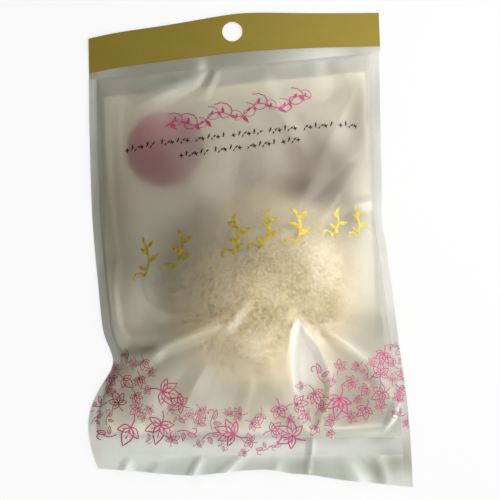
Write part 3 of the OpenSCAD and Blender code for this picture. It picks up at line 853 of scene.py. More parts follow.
# Side welds: the two films fused in a strip down each side, from the fold line to the skirt's edge
# The heat has left them a little wavy, so that their cut edges lift off the table here and there.
WELD_TINT = (0.66, 0.67, 0.63, 1)
WELD_CLEAR = 0.20
WELD = film_material("welded_film", WELD_TINT, WELD_CLEAR)
WELD_THICK = 2 * FILM_THICK
FOOT_Y = -80
WELD_STEP = 0.9
WELD_ACROSS = 8
WELD_WAVE = 0.55
WELD_WAVE_LENGTH = 17


def side_weld(name, node, outer, inner, seed):
    """A strip of welded film between its cut edge and the room, which waves up at the cut edge."""
    count = int((fold_y(0) - skirt_edge(outer(FOOT_Y))) / WELD_STEP)
    u, v = np.meshgrid(np.linspace(0, 1, WELD_ACROSS + 1), np.linspace(0, 1, count))
    x, y = between(u, v, skirt_edge, room_top, outer, inner, start=outer(0))
    if outer(0) > 0:
        x, y, u = x[:, ::-1], y[:, ::-1], u[:, ::-1]
    wave = WELD_WAVE * (0.5 + 0.5 * soft_noise(x, y, WELD_WAVE_LENGTH, seed)) * (1 - u) ** 1.5
    wave = np.clip(wave, 0, 1.2)
    weld = closed_sheet(name, x, y, wave, wave + WELD_THICK, WELD)
    keep_milk_and_painted_light(weld, x, y)
    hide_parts(node)
    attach(weld, "bag")


side_weld("left_weld", "left_side_weld", left_out, left_in, 3)
side_weld("right_weld", "right_side_weld", right_out, right_in, 8)

# Bottom weld: the films fused between ribbed jaws, which leave fine upright ribs
# A formula over the strip gives the ribs, and they fade where the jaws pressed less.
# The foot's film, and its whiter tint where light is painted on it
FOOT_TINT, FOOT_MILK_AND_LIGHT = (0.62, 0.63, 0.58, 1), (0.98, 1.0, 0.985, 1)
FOOT_CLEAR = 0.14
FOOT_FILM = film_material("foot_film", FOOT_TINT, FOOT_CLEAR, FOOT_MILK_AND_LIGHT)
RIB_PITCH = 0.8
RIB_HEIGHT = 0.2
RIB_STEP = 0.13
RIB_WEAR = 11 * MM
WELD_WIDE = 113
RIB_REACH = ((-60, -50, -35, -5, 8, 20, 60), (0.15, 0.5, 1, 1, 0.5, 0.15, 0.3))
WELD_ROWS = 8
# Painted light across the foot weld, whitest at the left: (x in mm, share)
FOOT_LIGHT_ACROSS = ((-60, -30, 0, 12, 30, 60), (1.0, 1.0, 0.85, 0.8, 0.7, 0.45))
# The crease that comes down the pleat, through the weld and into the skirt
CREASES = [
    [(24.0, -70, 0.2, 2, 2.5), (23.7, -74, 1.1, 1.2, 2.5), (22.7, -81.6, 1.6, 1.0, 2.2),
     (21.3, -91.4, 2.4, 1.0, 2.0), (21.2, -92, 2.4, 1.0, 2.0)],
]


def geometry_tree(name, given, made):
    """A Geometry Nodes tree with named inputs, its input sockets and the identifier of each."""
    tree = bpy.data.node_groups.new(name, "GeometryNodeTree")
    identifiers = {}
    for socket, kind in given:
        new = tree.interface.new_socket(socket, in_out="INPUT", socket_type="NodeSocket" + kind)
        identifiers[socket] = new.identifier
    tree.interface.new_socket(made, in_out="OUTPUT", socket_type="NodeSocketGeometry")
    return tree, tree.nodes.new("NodeGroupInput").outputs, identifiers


def named(tree, name, kind="FLOAT"):
    """What a mesh has stored under a name."""
    node = add_node(tree, "GeometryNodeInputNamedAttribute", {"Name": name}, data_type=kind)
    return node.outputs["Attribute"]


def settle(tree, shape, material):
    """Ends a tree: its shape made real, in its material."""
    real = add_node(tree, "GeometryNodeRealizeInstances", {0: shape})
    dress = add_node(
        tree, "GeometryNodeSetMaterial", {"Geometry": real.outputs[0], "Material": material}
    )
    add_node(tree, "NodeGroupOutput", {0: dress.outputs[0]})


def ribs_tree():
    """Raises upright ribs in a strip of film, as far as its mask says, and worn here and there."""
    tree, given, identifiers = geometry_tree(
        "weld_ribs", (("Weld", "Geometry"), ("Rib pitch", "Float"), ("Rib height", "Float")), "Weld"
    )
    place = add_node(tree, "GeometryNodeInputPosition").outputs[0]
    across = add_node(tree, "ShaderNodeSeparateXYZ", {0: place}).outputs["X"]
    turns = maths(tree, "DIVIDE", across, given["Rib pitch"])
    wave = maths(tree, "SINE", maths(tree, "MULTIPLY", turns, 2 * math.pi))
    worn = ranged(tree, noise(tree, place, 1 / RIB_WEAR, 1).outputs[0], (0.25, 0.75))
    lift = maths(tree, "MULTIPLY", maths(tree, "ADD", wave, 1), given["Rib height"])
    lift = maths(tree, "MULTIPLY", maths(tree, "MULTIPLY", lift, 0.5), worn)
    lift = maths(tree, "MULTIPLY", lift, named(tree, "ribbed"))
    offset = add_node(tree, "ShaderNodeCombineXYZ", {"Z": lift})
    move = add_node(
        tree, "GeometryNodeSetPosition", {"Geometry": given["Weld"], "Offset": offset.outputs[0]}
    )
    settle(tree, move.outputs[0], FOOT_FILM)
    return tree, identifiers


def as_evaluated(source, name):
    """The plain mesh object that a source's modifier makes of it. The source itself goes."""
    bpy.context.view_layer.update()
    finished = source.evaluated_get(bpy.context.evaluated_depsgraph_get())
    mesh = bpy.data.meshes.new_from_object(finished)
    bpy.data.objects.remove(source)
    made = bpy.data.objects.new(name, mesh)
    bpy.context.scene.collection.objects.link(made)
    return made


def made_by_nodes(source, tree, identifiers, values, name):
    """The plain mesh object that a Geometry Nodes tree makes of a source, with its inputs set."""
    modifier = source.modifiers.new(tree.name, "NODES")
    modifier.node_group = tree
    for key, value in values.items():
        modifier[identifiers[key]] = value
    return as_evaluated(source, name)


def foot_light_at(x):
    """How much painted light whitens the weld: most at the left, and less towards the right."""
    return np.interp(x, *FOOT_LIGHT_ACROSS)


weld_u, weld_v = np.meshgrid(
    np.linspace(0, 1, int(WELD_WIDE / RIB_STEP)), np.linspace(0, 1, WELD_ROWS + 1)
)
weld_x, weld_y = between(weld_u, weld_v, weld_low, weld_high, left_in, right_in)
weld_rise = sum(crest_height(crease, weld_x, weld_y) for crease in CREASES)
weld_sheet = closed_sheet(
    "weld_blank", weld_x, weld_y, weld_rise, weld_rise + WELD_THICK, FOOT_FILM
)
# The weld is tinted darker towards its upper edge, unevenly
top_darkening = 0.8 * eased(weld_v - 0.45, 0.55)
top_darkening *= 0.75 + 0.5 * soft_noise(weld_x, weld_y, 12, 6)
keep_milk_and_painted_light(weld_sheet, weld_x, weld_y, foot_light_at(weld_x) - top_darkening)
rib_share = np.sin(np.pi * weld_v) ** 0.5 * np.interp(weld_x, *RIB_REACH)
keep_value(weld_sheet, "ribbed", np.append(np.zeros(weld_u.size), rib_share.ravel()))
bottom_weld = made_by_nodes(
    weld_sheet, *ribs_tree(),
    {"Rib pitch": RIB_PITCH * MM, "Rib height": RIB_HEIGHT * MM}, "foot_weld",
)
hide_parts("bottom_weld")
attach(bottom_weld, "bag")

# Skirt: the loose ends of both films below the bottom weld
# The back one lies flat and the front one waves, with one sharp crease that comes down the pleat.
SKIRT_TINT = (0.76, 0.785, 0.755, 1)
SKIRT_FILM = film_material("skirt_film", SKIRT_TINT, FILM_CLEAR, FOOT_MILK_AND_LIGHT)
SKIRT_GAP = 0.03
SKIRT_WAVE, SKIRT_WAVE_LENGTH = 1.2, 22
SKIRT_COLUMNS, SKIRT_ROWS = 150, 16
# The front layer's folds, as crests like those of the bag
SKIRT_FOLDS = [
    [(-44, -79.5, 0.3, 3, 3), (-46, -82, 2.2, 4, 2.4), (-47, -85, 3.2, 5, 2.6)],
    [(-33, -80, 0.2, 3, 3), (-34, -83, 1.0, 3, 3), (-36, -86, 1.8, 4, 3)],
    [(-18, -79, 0.3, 3, 2.5), (-19, -82, 2.2, 3, 2.4), (-21, -86, 3.4, 3.4, 2.6)],
    [(-1, -79, 0.3, 2, 3), (-5, -82, 2.4, 2.5, 2.4), (-10, -86, 3.4, 3.2, 2.8)],
    [(12, -80, 0.1, 4, 3), (10, -84, 1.2, 4, 3), (8, -89, 2.0, 5, 3)],
    [(33, -79, 0.2, 4, 4), (37, -84, 1.4, 5, 5), (41, -91, 2.6, 6, 6)],
    [(46, -79, 0.8, 4, 3), (49, -84, 1.4, 4, 3), (51, -90, 1.6, 4, 3)],
]
skirt_u, skirt_v = np.meshgrid(np.linspace(0, 1, SKIRT_COLUMNS), np.linspace(0, 1, SKIRT_ROWS))
skirt_x, skirt_y = between(skirt_u, skirt_v, skirt_edge, weld_low, left_in, right_in)
down = 1 - skirt_v
waves = 0.5 + 0.5 * soft_noise(skirt_x, skirt_y * 0.3, SKIRT_WAVE_LENGTH, 12)
skirt_folds = sum(crest_height(crease, skirt_x, skirt_y) for crease in CREASES + SKIRT_FOLDS)
skirt_rise = SKIRT_WAVE * down**1.3 * np.clip(waves, 0, 1.2) * np.sin(np.pi * skirt_u) ** 0.5
skirt_rise += skirt_folds
front_hem = SKIRT_GAP * eased(down, 0.25) + FILM_THICK + skirt_rise
skirt_back = closed_sheet(
    "skirt_under", skirt_x, skirt_y, np.zeros_like(skirt_x), np.full_like(skirt_x, FILM_THICK),
    SKIRT_FILM,
)
skirt_front = closed_sheet(
    "skirt_over", skirt_x, skirt_y, front_hem, front_hem + FILM_THICK, SKIRT_FILM
)
# Painted highlights along the skirt's folds, and painted light below the weld, whitest at the left
hem_highlight = np.clip(skirt_folds / 1.6 - 0.25, 0, 1)
foot_painted_light = foot_light_at(skirt_x) * np.exp(-(weld_low(skirt_x) - skirt_y) / 2.2)
keep_milk_and_painted_light(skirt_front, skirt_x, skirt_y, np.maximum(hem_highlight, foot_painted_light))
for skirt, node, under in (
    (skirt_back, "skirt_back", "floor"), (skirt_front, "skirt_front", "skirt_under"),
):
    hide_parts(node)
    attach(skirt, "bag")

# Header: the two films above the fold line, both printed in a gold-olive ink
# They are fused along a bare strip below the print, and a round hole for a display hook is punched
# through both.
HEADER_STEP = 1.4
HEADER_LIFT = 0.9
HEADER_GAP = 0.03
HEADER_WIDE, HEADER_TALL = 114, 16
HEADER_HALF = 58
RIM_CLEAR, HOLE_CLEAR = 0.7, 0.6
HOLE_TURNS = 64
INK = (0.40, 0.305, 0.045, 1)
INK_SPECK = 0.6 * MM
band_y = outline_curve("header_front", 0, 0)
top_y = outline_curve("header_front", 0, 1)
HEADER_LOW, HEADER_HIGH = (np.array(corner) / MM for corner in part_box("header_front"))
hang_hole = frame["record"]["mounts"][0]
HOLE_AT = np.array(hang_hole["pos_m"][:2]) / MM
HOLE_R = hang_hole["dims"]["r_mm"]


def header_rise(x, y):
    """How far the header curls up off the table, in mm: most at its two upper corners."""
    up = np.clip((y - fold_y(x)) / HEADER_TALL, 0, 1.3)
    side = (x - HOLE_AT[0]) / HEADER_HALF
    return up**1.5 * HEADER_LIFT * (0.25 + 0.75 * side**2 + 0.22 * np.sin(x / 11 + 1))


def plain_surface(tree, grain, colour, metallic=0.0):
    """Ends a material: a surface in one colour, as rough and as uneven as its grain."""
    as_surface(tree, add_node(tree, "ShaderNodeBsdfPrincipled", {
        "Base Color": colour, "Metallic": metallic,
        "Roughness": grain.outputs["Roughness"], "Normal": grain.outputs["Normal"],
    }))


def ink_material():
    """Satin gold-olive ink, with the faint bands that a gravure cylinder leaves."""
    material, tree = new_material("header_ink")
    grain = grained(tree, INK, 0.42, grain_depth=0.02, grain_size=0.35, streak_size=9.0)
    speck = noise(tree, object_place(tree), 1 / INK_SPECK).outputs[0]
    tone = ranged(tree, speck, (0, 1), (0.90, 1.10))
    plain_surface(tree, grain, scaled(tree, grain.outputs["Colour"], tone))
    return material


HEADER_INK = ink_material()


def punched_layer(name, low):
    """One layer of the header with its hole, as a closed sheet of triangles."""
    across = np.linspace(HEADER_LOW[0], HEADER_HIGH[0], int(HEADER_WIDE / HEADER_STEP))
    ends = np.linspace(0, 1, 12)[1:-1]
    rim = [(x, band_y(x)) for x in across]
    rim += [(HEADER_HIGH[0], band_y(across[-1]) * (1 - t) + top_y(across[-1]) * t) for t in ends]
    rim += [(x, top_y(x)) for x in across[::-1]]
    rim += [(HEADER_LOW[0], top_y(across[0]) * (1 - t) + band_y(across[0]) * t) for t in ends]
    hole = [(HOLE_AT[0] + HOLE_R * math.cos(t), HOLE_AT[1] + HOLE_R * math.sin(t))
            for t in np.linspace(0, 2 * math.pi, HOLE_TURNS, endpoint=False)]
    inside = [
        (x, y)
        for x in across[1:-1]
        for y in np.arange(HEADER_LOW[1], HEADER_HIGH[1], HEADER_STEP)
        if band_y(x) + RIM_CLEAR < y < top_y(x) - RIM_CLEAR
        and math.dist((x, y), HOLE_AT) > HOLE_R + HOLE_CLEAR
    ]
    loops = [list(range(len(rim))), list(range(len(rim), len(rim) + len(hole)))]
    edges = [(loop[i], loop[(i + 1) % len(loop)]) for loop in loops for i in range(len(loop))]
    flat, _, triangles, *_ = delaunay_2d_cdt(
        [Vector(p) for p in rim + hole + inside], edges, [], 1, 1e-5
    )
    flat = np.array([tuple(p) for p in flat])
    middles = flat[np.array(triangles)].mean(axis=1)
    keep = np.hypot(*(middles - HOLE_AT).T) > HOLE_R * 0.98
    triangles = [t for t, wanted in zip(triangles, keep) if wanted]
    rise = header_rise(flat[:, 0], flat[:, 1]) + low
    layer = len(flat)
    points = [
        (x * MM, y * MM, (z + h) * MM) for h in (0, FILM_THICK) for (x, y), z in zip(flat, rise)
    ]
    faces = [tuple(t[::-1]) for t in triangles] + [tuple(i + layer for i in t) for t in triangles]
    sides = {(t[i], t[(i + 1) % 3]) for t in triangles for i in range(3)}
    faces += [(a, b, b + layer, a + layer) for a, b in sides if (b, a) not in sides]
    sheet = build_mesh(name, points, sorted(faces))
    sheet.data.materials.append(HEADER_INK)
    return sheet


header_back = punched_layer("header_under", 0)
header_front = punched_layer("header_over", FILM_THICK + HEADER_GAP)
for layer, node, under in (
    (header_back, "header_back", "floor"), (header_front, "header_front", "header_under"),
):
    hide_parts(node)
    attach(layer, "header")

# Neck weld: the bare strip below the header's print, where a heated bar has fused the two films
# It turns with the header, and it is tinted darker than the bag's film as painted shade.
NECK_SHADE_TINT = (0.39, 0.385, 0.325, 1)
NECK_FILM = film_material("neck_film", NECK_SHADE_TINT, FILM_CLEAR)
STRIP_COLUMNS = 90


def cross_strip(name, low_edge, high_edge, rows, rise):
    """A strip of film right across the header, between two edges."""
    across = np.linspace(HEADER_LOW[0], HEADER_HIGH[0], STRIP_COLUMNS)
    u, v = np.meshgrid(across, np.linspace(0, 1, rows))
    y = low_edge(u) * (1 - v) + high_edge(u) * v
    lift = rise(u, y)
    strip = closed_sheet(name, u, y, lift, lift + WELD_THICK, NECK_FILM)
    keep_milk_and_painted_light(strip, u, y)
    return strip


def above_fold(x):
    """The neck weld's lower edge, just above the fold line."""
    return fold_y(x) + FOLD_GAP


top_weld = cross_strip("neck_weld", above_fold, band_y, 5, header_rise)
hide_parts("top_weld")
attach(top_weld, "header")

# Fold web: the narrow free film on both sides of the fold line
# It lies flat.
fold_web = cross_strip("fold_web", room_top, above_fold, 9, lambda x, y: 0 * x)
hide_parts("fold_crease")
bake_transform(fold_web)

# Insert: a thin off-white card, cut a little smaller than the bag, that lies loose in its back
# A picture is printed on it: a pink ball and a second paler one. A tan wash towards its foot and a
# second one at its upper right are painted shade.
CARD_WHITE = (0.86, 0.82, 0.72, 1)
CARD_PAINTED_SHADE = (0.46, 0.40, 0.31, 1)
# The spots, lowest first: two tan ones of painted shade, and then the printed balls: the middle,
# radius and softness of each and its tone, and then the same of the lighter print that lies on it.
# Lengths are in mm.
CARD_SPOTS = (
    ((50, -64), 24, 0.6, CARD_PAINTED_SHADE, None),
    ((46, 46), 11, 0.9, CARD_PAINTED_SHADE, None),
    ((20, 29), 22, 0.12, (0.22, 0.085, 0.07, 1), ((14, 41), 16, 0.85, (0.76, 0.65, 0.56, 1))),
    ((-29.5, 38.3), 15, 0.03, (0.34, 0.005, 0.08, 1),
     ((-34.5, 47.3), 9, 0.95, (0.66, 0.08, 0.21, 1))),
)


def spot(tree, place, at, radius, softness):
    """A round mask on the card: 1 inside the radius and 0 outside it."""
    away = add_node(
        tree, "ShaderNodeVectorMath", {0: place, 1: (at[0] * MM, at[1] * MM, 0)}, operation="DISTANCE"
    )
    edge = (radius * MM * (1 + softness), radius * MM * (1 - softness))
    return ranged(tree, away.outputs["Value"], edge, easing="SMOOTHSTEP")


def card_material():
    """White card with its picture printed in soft round spots, and painted shade in two tan spots."""
    material, tree = new_material("insert_card")
    flat = add_node(
        tree, "ShaderNodeVectorMath", {0: object_place(tree), 1: (1, 1, 0)}, operation="MULTIPLY"
    ).outputs[0]
    grain = grained(tree, CARD_WHITE, 0.62, grain_depth=0.05, grain_size=0.25, streak_size=20.0)
    colour = grain.outputs["Colour"]
    for at, radius, softness, tone, light in CARD_SPOTS:
        if light:
            tone = colour_mix(tree, spot(tree, flat, *light[:3]), tone, light[3])
        colour = colour_mix(tree, spot(tree, flat, at, radius, softness), colour, tone)
    plain_surface(tree, grain, colour)
    return material


insert_card = frame["nodes"]["insert_card"]
insert_card.data.materials.clear()
insert_card.data.materials.append(card_material())

# Sponge: a half ball of konjac, moist, soft and full of open pores, flat on its back
# Its blank is remeshed evenly and then eaten into by pores, as the frozen starch gel leaves them.
SPONGE_VOXEL = 0.37
BLANK_SHRINK = 0.12
BLANK_TURNS = 128
# What the freezing leaves in the gel, in mm
PORES = {
    "Pore size": 1.6, "Pore depth": 0.5, "Hole size": 3.6, "Hole depth": 0.6,
    "Lump size": 9.0, "Lump height": 0.35, "Grit size": 0.7, "Grit height": 0.16,
}
KONJAC_LIGHT = (0.89, 0.73, 0.41, 1)
KONJAC_PIT_SHADE = (0.52, 0.35, 0.14, 1)


def sponge_blank():
    """The plain half ball, turned from its profile and remeshed evenly."""
    radius = SPONGE_R - BLANK_SHRINK
    height = SPONGE_HIGH[2] - SPONGE_LOW[2] - BLANK_SHRINK
    rim = [
        (radius - SPONGE_RIM + SPONGE_RIM * math.cos(t), SPONGE_RIM + SPONGE_RIM * math.sin(t))
        for t in np.radians(np.linspace(-90, 0, 10))
    ]
    dome = [
        (radius * math.cos(t), SPONGE_RIM + (height - SPONGE_RIM) * math.sin(t))
        for t in np.radians(np.linspace(0, 90, 46))[1:-1]
    ]
    circle = np.linspace(0, 2 * math.pi, BLANK_TURNS, endpoint=False)
    points = [(0, 0, 0)]
    points += [(r * math.cos(t), r * math.sin(t), z) for r, z in rim + dome for t in circle]
    points.append((0, 0, height))
    points = (np.array(points) + [SPONGE_MID[0], SPONGE_MID[1], SPONGE_LOW[2]]) * MM
    steps = [(i, (i + 1) % BLANK_TURNS) for i in range(BLANK_TURNS)]
    faces = [(0, 1 + after, 1 + i) for i, after in steps]
    for row in range(len(rim + dome) - 1):
        low = 1 + row * BLANK_TURNS
        high = low + BLANK_TURNS
        faces += [(low + i, low + after, high + after, high + i) for i, after in steps]
    faces += [(high + i, high + after, len(points) - 1) for i, after in steps]
    blank = build_mesh("sponge_blank", points, faces)
    remesh = blank.modifiers.new("even", "REMESH")
    remesh.mode = "VOXEL"
    remesh.voxel_size = SPONGE_VOXEL * MM
    return as_evaluated(blank, "sponge_even")


def konjac_material():
    """Moist konjac: cream on the webs between the pores, and painted shade in a warmer brown down in
    them.
    """
    material, tree = new_material("konjac_foam")
    grain = grained(tree, KONJAC_LIGHT, 0.75, grain_depth=0.12, grain_size=0.3, streak_size=11.0)
    pore = add_node(tree, "ShaderNodeAttribute", attribute_name="pore").outputs["Fac"]
    plain_surface(tree, grain, colour_mix(tree, pore, grain.outputs["Colour"], KONJAC_PIT_SHADE))
    return material


def pores_tree():
    """Eats pores and holes into the blank, gives it lumps and grit, and keeps how deep each lies."""
    tree, given, identifiers = geometry_tree(
        "konjac_pores", [("Sponge", "Geometry")] + [(key, "Float") for key in PORES], "Sponge"
    )
    place = scaled(tree, add_node(tree, "GeometryNodeInputPosition").outputs[0], 1 / MM)

    def waves(size, detail):
        """Smooth random values from -1 to 1."""
        chance = noise(tree, place, maths(tree, "DIVIDE", 1, size), detail).outputs[0]
        return maths(tree, "SUBTRACT", maths(tree, "MULTIPLY", chance, 2), 1)

    def pits(size, wide, narrow, warp):
        """1 at the bottom of a pit, 0 between the pits."""
        bend = noise(tree, place, maths(tree, "DIVIDE", 0.9, size), 1)
        shift = scaled(tree, bend.outputs["Color"], warp)
        bent = add_node(tree, "ShaderNodeVectorMath", {0: place, 1: shift}, operation="ADD")
        cells = add_node(tree, "ShaderNodeTexVoronoi", {
            "Vector": bent.outputs[0], "Scale": maths(tree, "DIVIDE", 1, size), "Randomness": 1,
        })
        return ranged(tree, cells.outputs["Distance"], (wide, narrow), easing="SMOOTHSTEP")

    pore = pits(given["Pore size"], 0.62, 0.10, 1.8)
    hole = pits(given["Hole size"], 0.34, 0.14, 2.2)
    patch = ranged(tree, waves(given["Lump size"], 1), (-0.25, 0.25))
    hole = maths(tree, "MULTIPLY", hole, patch)
    rise = maths(tree, "MULTIPLY", waves(given["Lump size"], 2), given["Lump height"])
    grit = maths(tree, "MULTIPLY", waves(given["Grit size"], 2), given["Grit height"])
    rise = maths(tree, "ADD", rise, grit)
    rise = maths(tree, "SUBTRACT", rise, maths(tree, "MULTIPLY", pore, given["Pore depth"]))
    rise = maths(tree, "SUBTRACT", rise, maths(tree, "MULTIPLY", hole, given["Hole depth"]))
    rise = maths(tree, "MULTIPLY", maths(tree, "MINIMUM", rise, BLANK_SHRINK), MM)
    deep = maths(tree, "MINIMUM", maths(tree, "ADD", pore, hole), 1)
    offset = scaled(tree, add_node(tree, "GeometryNodeInputNormal").outputs[0], rise)
    keep = add_node(tree, "GeometryNodeStoreNamedAttribute", {
        "Geometry": given["Sponge"], "Name": "pore", "Value": deep,
    }, data_type="FLOAT", domain="POINT")
    move = add_node(
        tree, "GeometryNodeSetPosition", {"Geometry": keep.outputs[0], "Offset": offset}
    )
    settle(tree, move.outputs[0], KONJAC)
    return tree, identifiers


KONJAC = konjac_material()
konjac_sponge = made_by_nodes(sponge_blank(), *pores_tree(), PORES, "konjac_sponge")
konjac_sponge.data.shade_smooth()
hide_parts("sponge")
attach(konjac_sponge, "loose_sponge")

# Pink border: leaf sprigs printed in pink across the foot of the bag, on the outside of its film
# Each motif is a thin flat shape. It is set in its place and turn, and then laid down on the film.
# The sprigs fill a band that is tall at both sides and low in the middle.
PRINT_LIFT = 0.02
PRINT_THICK = 0.03
PRINT_FROM = 60
PRINT_CLOSE = 0.002
PRINT_SPECK = 1.4 * MM
PRINT_LINE = 0.036
LEAF_FULLEST = 0.42
# The pink is darker at the left, partly as painted shade
PINK_LEFT, PINK_RIGHT = (0.52, 0.03, 0.12, 1), (0.72, 0.11, 0.31, 1)
PINK_TURNS = (-52 * MM, 10 * MM)
# The band: (x, top, bottom) in mm
BORDER_BAND = np.array([
    (-59, -56, -70), (-52, -47, -73), (-44, -37, -73), (-36, -43, -74), (-27, -54, -75),
    (-15, -61, -77), (0, -62, -80), (12, -59, -77), (20, -53, -76), (28, -46, -74),
    (38, -47, -68), (47, -44, -66), (55, -37, -68), (60, -35, -72),
])
BORDER_SIZES = [(12.5, 6), (8.4, 17), (6.4, 38), (4.8, 30)]
BORDER_CLOSE = 0.36
BORDER_TRIES = 500
BORDER_ENDS = (-57, 59)


def ribbon(path, width, closed=False):
    """A flat line of one width along a path: its points and its quads."""
    path = np.array(path, float)
    ahead = np.roll(path, -1, axis=0) - path
    behind = path - np.roll(path, 1, axis=0)
    if not closed:
        ahead[-1], behind[0] = behind[-1], ahead[0]
    way = sum(part / np.linalg.norm(part, axis=1)[:, None] for part in (ahead, behind))
    way /= np.maximum(np.linalg.norm(way, axis=1), 0.3)[:, None]
    side = np.stack([-way[:, 1], way[:, 0]], axis=1) * width / 2
    count = len(path)
    faces = [(i, count + i, count + (i + 1) % count, (i + 1) % count)
             for i in range(count if closed else count - 1)]
    return np.concatenate([path + side, path - side]), faces


def leaf_halves(length, width, count):
    """Stations along a pointed leaf and its half width at each, from stalk to tip."""
    share = np.linspace(0, 1, count)
    bulge = np.sin(np.pi * share ** (math.log(0.5) / math.log(LEAF_FULLEST)))
    return share * length, width / 2 * bulge * (1 - 0.25 * share)


def turned(points, angle, start=(0, 0)):
    """Flat points turned by an angle in radians, and then moved to a start."""
    c, s = math.cos(angle), math.sin(angle)
    return np.array(points) @ np.array([[c, s], [-s, c]]) + np.array(start)


def joined(shapes):
    """Several flat shapes as one."""
    points, faces = [], []
    for some, quads in shapes:
        faces += [tuple(i + sum(map(len, points)) for i in quad) for quad in quads]
        points.append(np.array(some))
    return np.concatenate(points), faces


def leaf_line(length, width, angle, start=(0, 0)):
    """A leaf drawn as an outline, with a short vein."""
    along, half = leaf_halves(length, width, 9)
    rim = np.concatenate([np.stack([along, half], 1), np.stack([along, -half], 1)[-2:0:-1]])
    vein = [(length * t, 0.03 * width * math.sin(5 * t)) for t in (0.12, 0.3, 0.48, 0.62)]
    return joined([
        ribbon(turned(rim[::-1], angle, start), PRINT_LINE, closed=True),
        ribbon(turned(vein, angle, start), PRINT_LINE * 0.8),
    ])


def bow(start, end, sag, width, count=9):
    """A bent stalk from one point to another."""
    start, end = np.array(start, float), np.array(end, float)
    across = np.array([-(end - start)[1], (end - start)[0]])
    path = [
        start + (end - start) * t + across * sag * math.sin(math.pi * t)
        for t in np.linspace(0, 1, count)
    ]
    return ribbon(path, width)


def fan_sprig(leaflets, spread, slim):
    """Leaflets drawn in outline round the end of a stalk, the middle one longest."""
    shapes = [bow((-0.42, -0.05), (0, 0), 0.12, PRINT_LINE)]
    for i in range(leaflets):
        share = i / (leaflets - 1) * 2 - 1
        length = 0.60 - 0.20 * abs(share)
        shapes.append(leaf_line(length, length * slim, share * spread))
    return joined(shapes)


def twin_leaf():
    """Two small leaves on a bent stalk with a curl."""
    curl = [
        (0.16 + 0.13 * math.cos(t), 0.26 + 0.12 * math.sin(t)) for t in np.linspace(-1.7, 2.6, 12)
    ]
    return joined([
        bow((-0.5, -0.12), (0.14, 0.13), 0.15, PRINT_LINE), ribbon(curl, PRINT_LINE),
        leaf_line(0.44, 0.2, 0.15, (-0.05, 0.03)), leaf_line(0.36, 0.17, -1.2, (-0.2, -0.02)),
    ])


def print_tree():
    """Sets motifs on marked points, lays them down on the film and gives them a thickness."""
    tree, given, identifiers = geometry_tree("film_print", (
        ("Marks", "Geometry"), ("Motifs", "Collection"), ("Film", "Collection"), ("Ink", "Material"),
        ("Lift", "Float"), ("Thickness", "Float"),
    ), "Print")
    motifs = add_node(tree, "GeometryNodeCollectionInfo", {
        "Collection": given["Motifs"], "Separate Children": True, "Reset Children": True,
    })
    film = add_node(tree, "GeometryNodeCollectionInfo", {"Collection": given["Film"]})
    film = add_node(tree, "GeometryNodeRealizeInstances", {0: film.outputs[0]})

    turn = add_node(tree, "ShaderNodeCombineXYZ", {"Z": named(tree, "turn")})
    place = add_node(tree, "GeometryNodeInstanceOnPoints", {
        "Points": given["Marks"], "Instance": motifs.outputs[0], "Pick Instance": True,
        "Instance Index": named(tree, "kind", "INT"), "Rotation": turn.outputs[0],
        "Scale": named(tree, "size"),
    })
    real = add_node(tree, "GeometryNodeRealizeInstances", {0: place.outputs[0]})
    high = add_node(tree, "GeometryNodeSetPosition", {
        "Geometry": real.outputs[0], "Offset": (0, 0, PRINT_FROM * MM),
    })

    fall = add_node(tree, "GeometryNodeRaycast", {
        "Target Geometry": film.outputs[0], "Ray Direction": (0, 0, -1),
        "Ray Length": 2 * PRINT_FROM * MM,
    })
    lift = scaled(tree, fall.outputs["Hit Normal"], given["Lift"])
    landed = add_node(
        tree, "ShaderNodeVectorMath", {0: fall.outputs["Hit Position"], 1: lift}, operation="ADD"
    )
    missed = add_node(tree, "FunctionNodeBooleanMath", {0: fall.outputs["Is Hit"]}, operation="NOT")
    off = add_node(tree, "GeometryNodeDeleteGeometry", {
        "Geometry": high.outputs[0], "Selection": missed.outputs[0],
    })
    lay = add_node(tree, "GeometryNodeSetPosition", {
        "Geometry": off.outputs[0], "Position": landed.outputs[0],
    })

    thicken = add_node(tree, "GeometryNodeExtrudeMesh", {
        "Mesh": lay.outputs[0], "Offset Scale": given["Thickness"], "Individual": False,
    })
    under = add_node(tree, "GeometryNodeFlipFaces", {0: lay.outputs[0]})
    both = add_node(tree, "GeometryNodeJoinGeometry", {0: thicken.outputs[0]})
    tree.links.new(under.outputs[0], both.inputs[0])
    close = add_node(tree, "GeometryNodeMergeByDistance", {
        "Geometry": both.outputs[0], "Distance": PRINT_CLOSE * MM,
    })
    settle(tree, close.outputs[0], given["Ink"])
    return tree, identifiers


PRINTER = print_tree()
FILM_FACE = bpy.data.collections.new("film_face")
for piece_name in ("bag_front", "foot_weld", "left_weld", "right_weld", "skirt_over"):
    FILM_FACE.objects.link(bpy.data.objects[piece_name])


